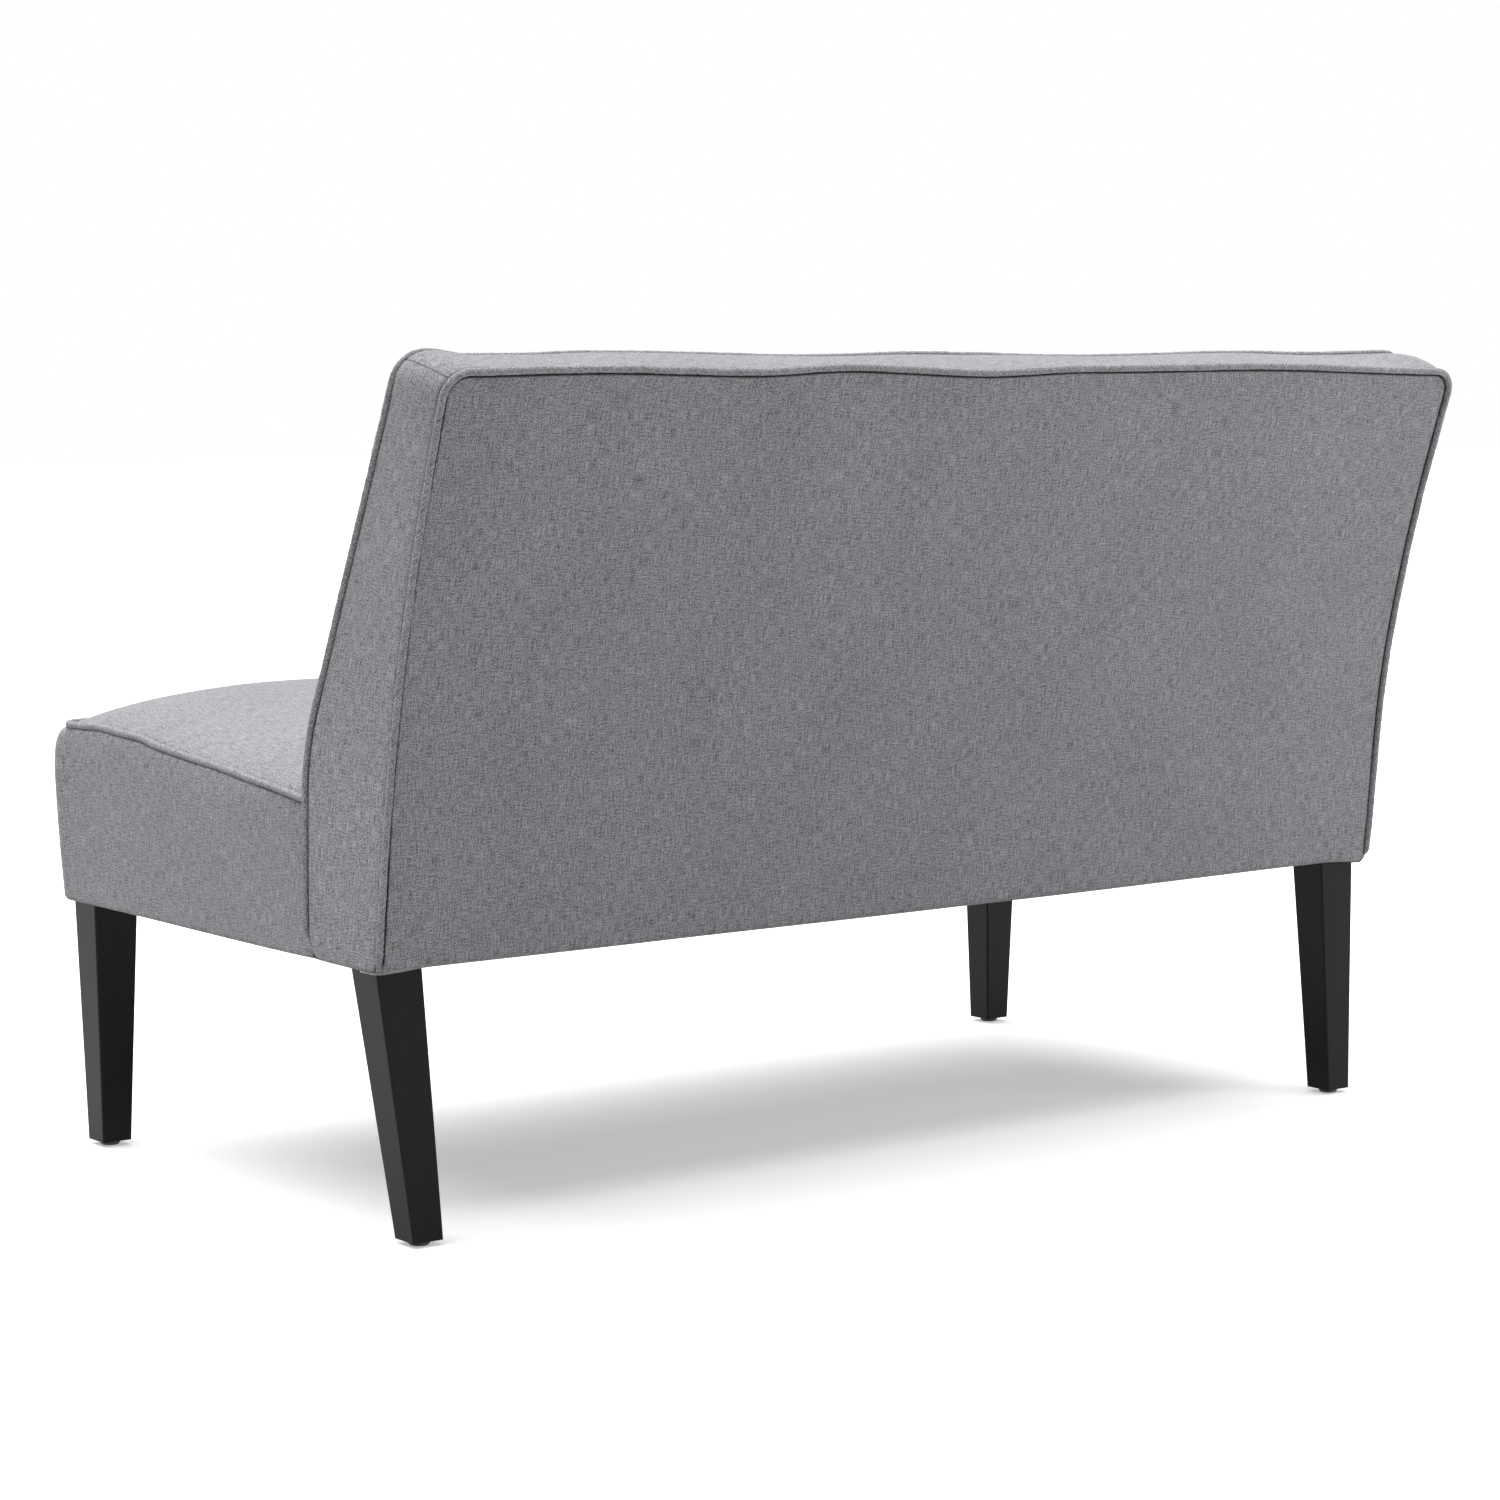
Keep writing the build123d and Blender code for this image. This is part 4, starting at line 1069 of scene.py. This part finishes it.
bm = bmesh.new()
bmesh.ops.create_grid(bm, x_segments=1, y_segments=1, size=30)
floor_mesh = bpy.data.meshes.new("floor")
bm.to_mesh(floor_mesh)
bm.free()
floor = bpy.data.objects.new("floor", floor_mesh)
scene.collection.objects.link(floor)
floor_paint, tree, shader = finish(
    "pale_floor", (0.46, 0.46, 0.46), 0.9, Specular_IOR_Level=0.0, Emission_Color=(1, 1, 1, 1)
)
seen = seen_rays(tree)
tree.links.new(math_node(tree, "MULTIPLY", seen, 0.42), shader.inputs["Emission Strength"])
seen_white = add(tree, "Mix", {"Factor": seen, "A": 0.46, "B": 0.90}, data_type="FLOAT").outputs[0]
tree.links.new(seen_white, shader.inputs["Base Color"])
floor_mesh.materials.append(floor_paint)

world = bpy.data.worlds.new("studio")
scene.world = world
world.use_nodes = True
tree = world.node_tree
backdrop = tree.nodes["Background"]
backdrop.inputs["Color"].default_value = (1, 1, 1, 1)
world_fill = 0.10
brightness = math_node(tree, "MULTIPLY_ADD", seen_rays(tree), 1 - world_fill, world_fill)
tree.links.new(brightness, backdrop.inputs["Strength"])


def studio_light(name, kind, place, aim, power, **settings):
    """A soft studio light at a place, turned towards its aim."""
    lamp = bpy.data.lights.new(name, kind)
    lamp.energy = power
    for key, value in settings.items():
        setattr(lamp, key, value)
    holder = bpy.data.objects.new(name, lamp)
    holder.location = place
    holder.rotation_mode = "QUATERNION"
    holder.rotation_quaternion = (Vector(aim) - Vector(place)).to_track_quat("-Z", "Y")
    scene.collection.objects.link(holder)


studio_light("overhead_light", "SUN", (0.07, -0.20, 0.97), (0, 0, 0), 4.8, angle=math.radians(84))
studio_light("rear_right_light", "AREA", (-1.9, 1.9, 1.2), (-0.3, 0.3, 0.5), 16, shape="SQUARE", size=1.4)

camera = bpy.data.cameras.new("photo_camera")
camera.lens = 89.26
camera.sensor_width = 36.0
camera.sensor_fit = "HORIZONTAL"
viewer = bpy.data.objects.new("photo_camera", camera)
viewer.location = (2.4271, 3.0918, 0.7934)
viewer.rotation_mode = "QUATERNION"
viewer.rotation_quaternion = Vector((-0.61063, -0.78566, -0.09930)).to_track_quat("-Z", "Y")
scene.collection.objects.link(viewer)
scene.camera = viewer
scene.view_settings.view_transform = "Standard"
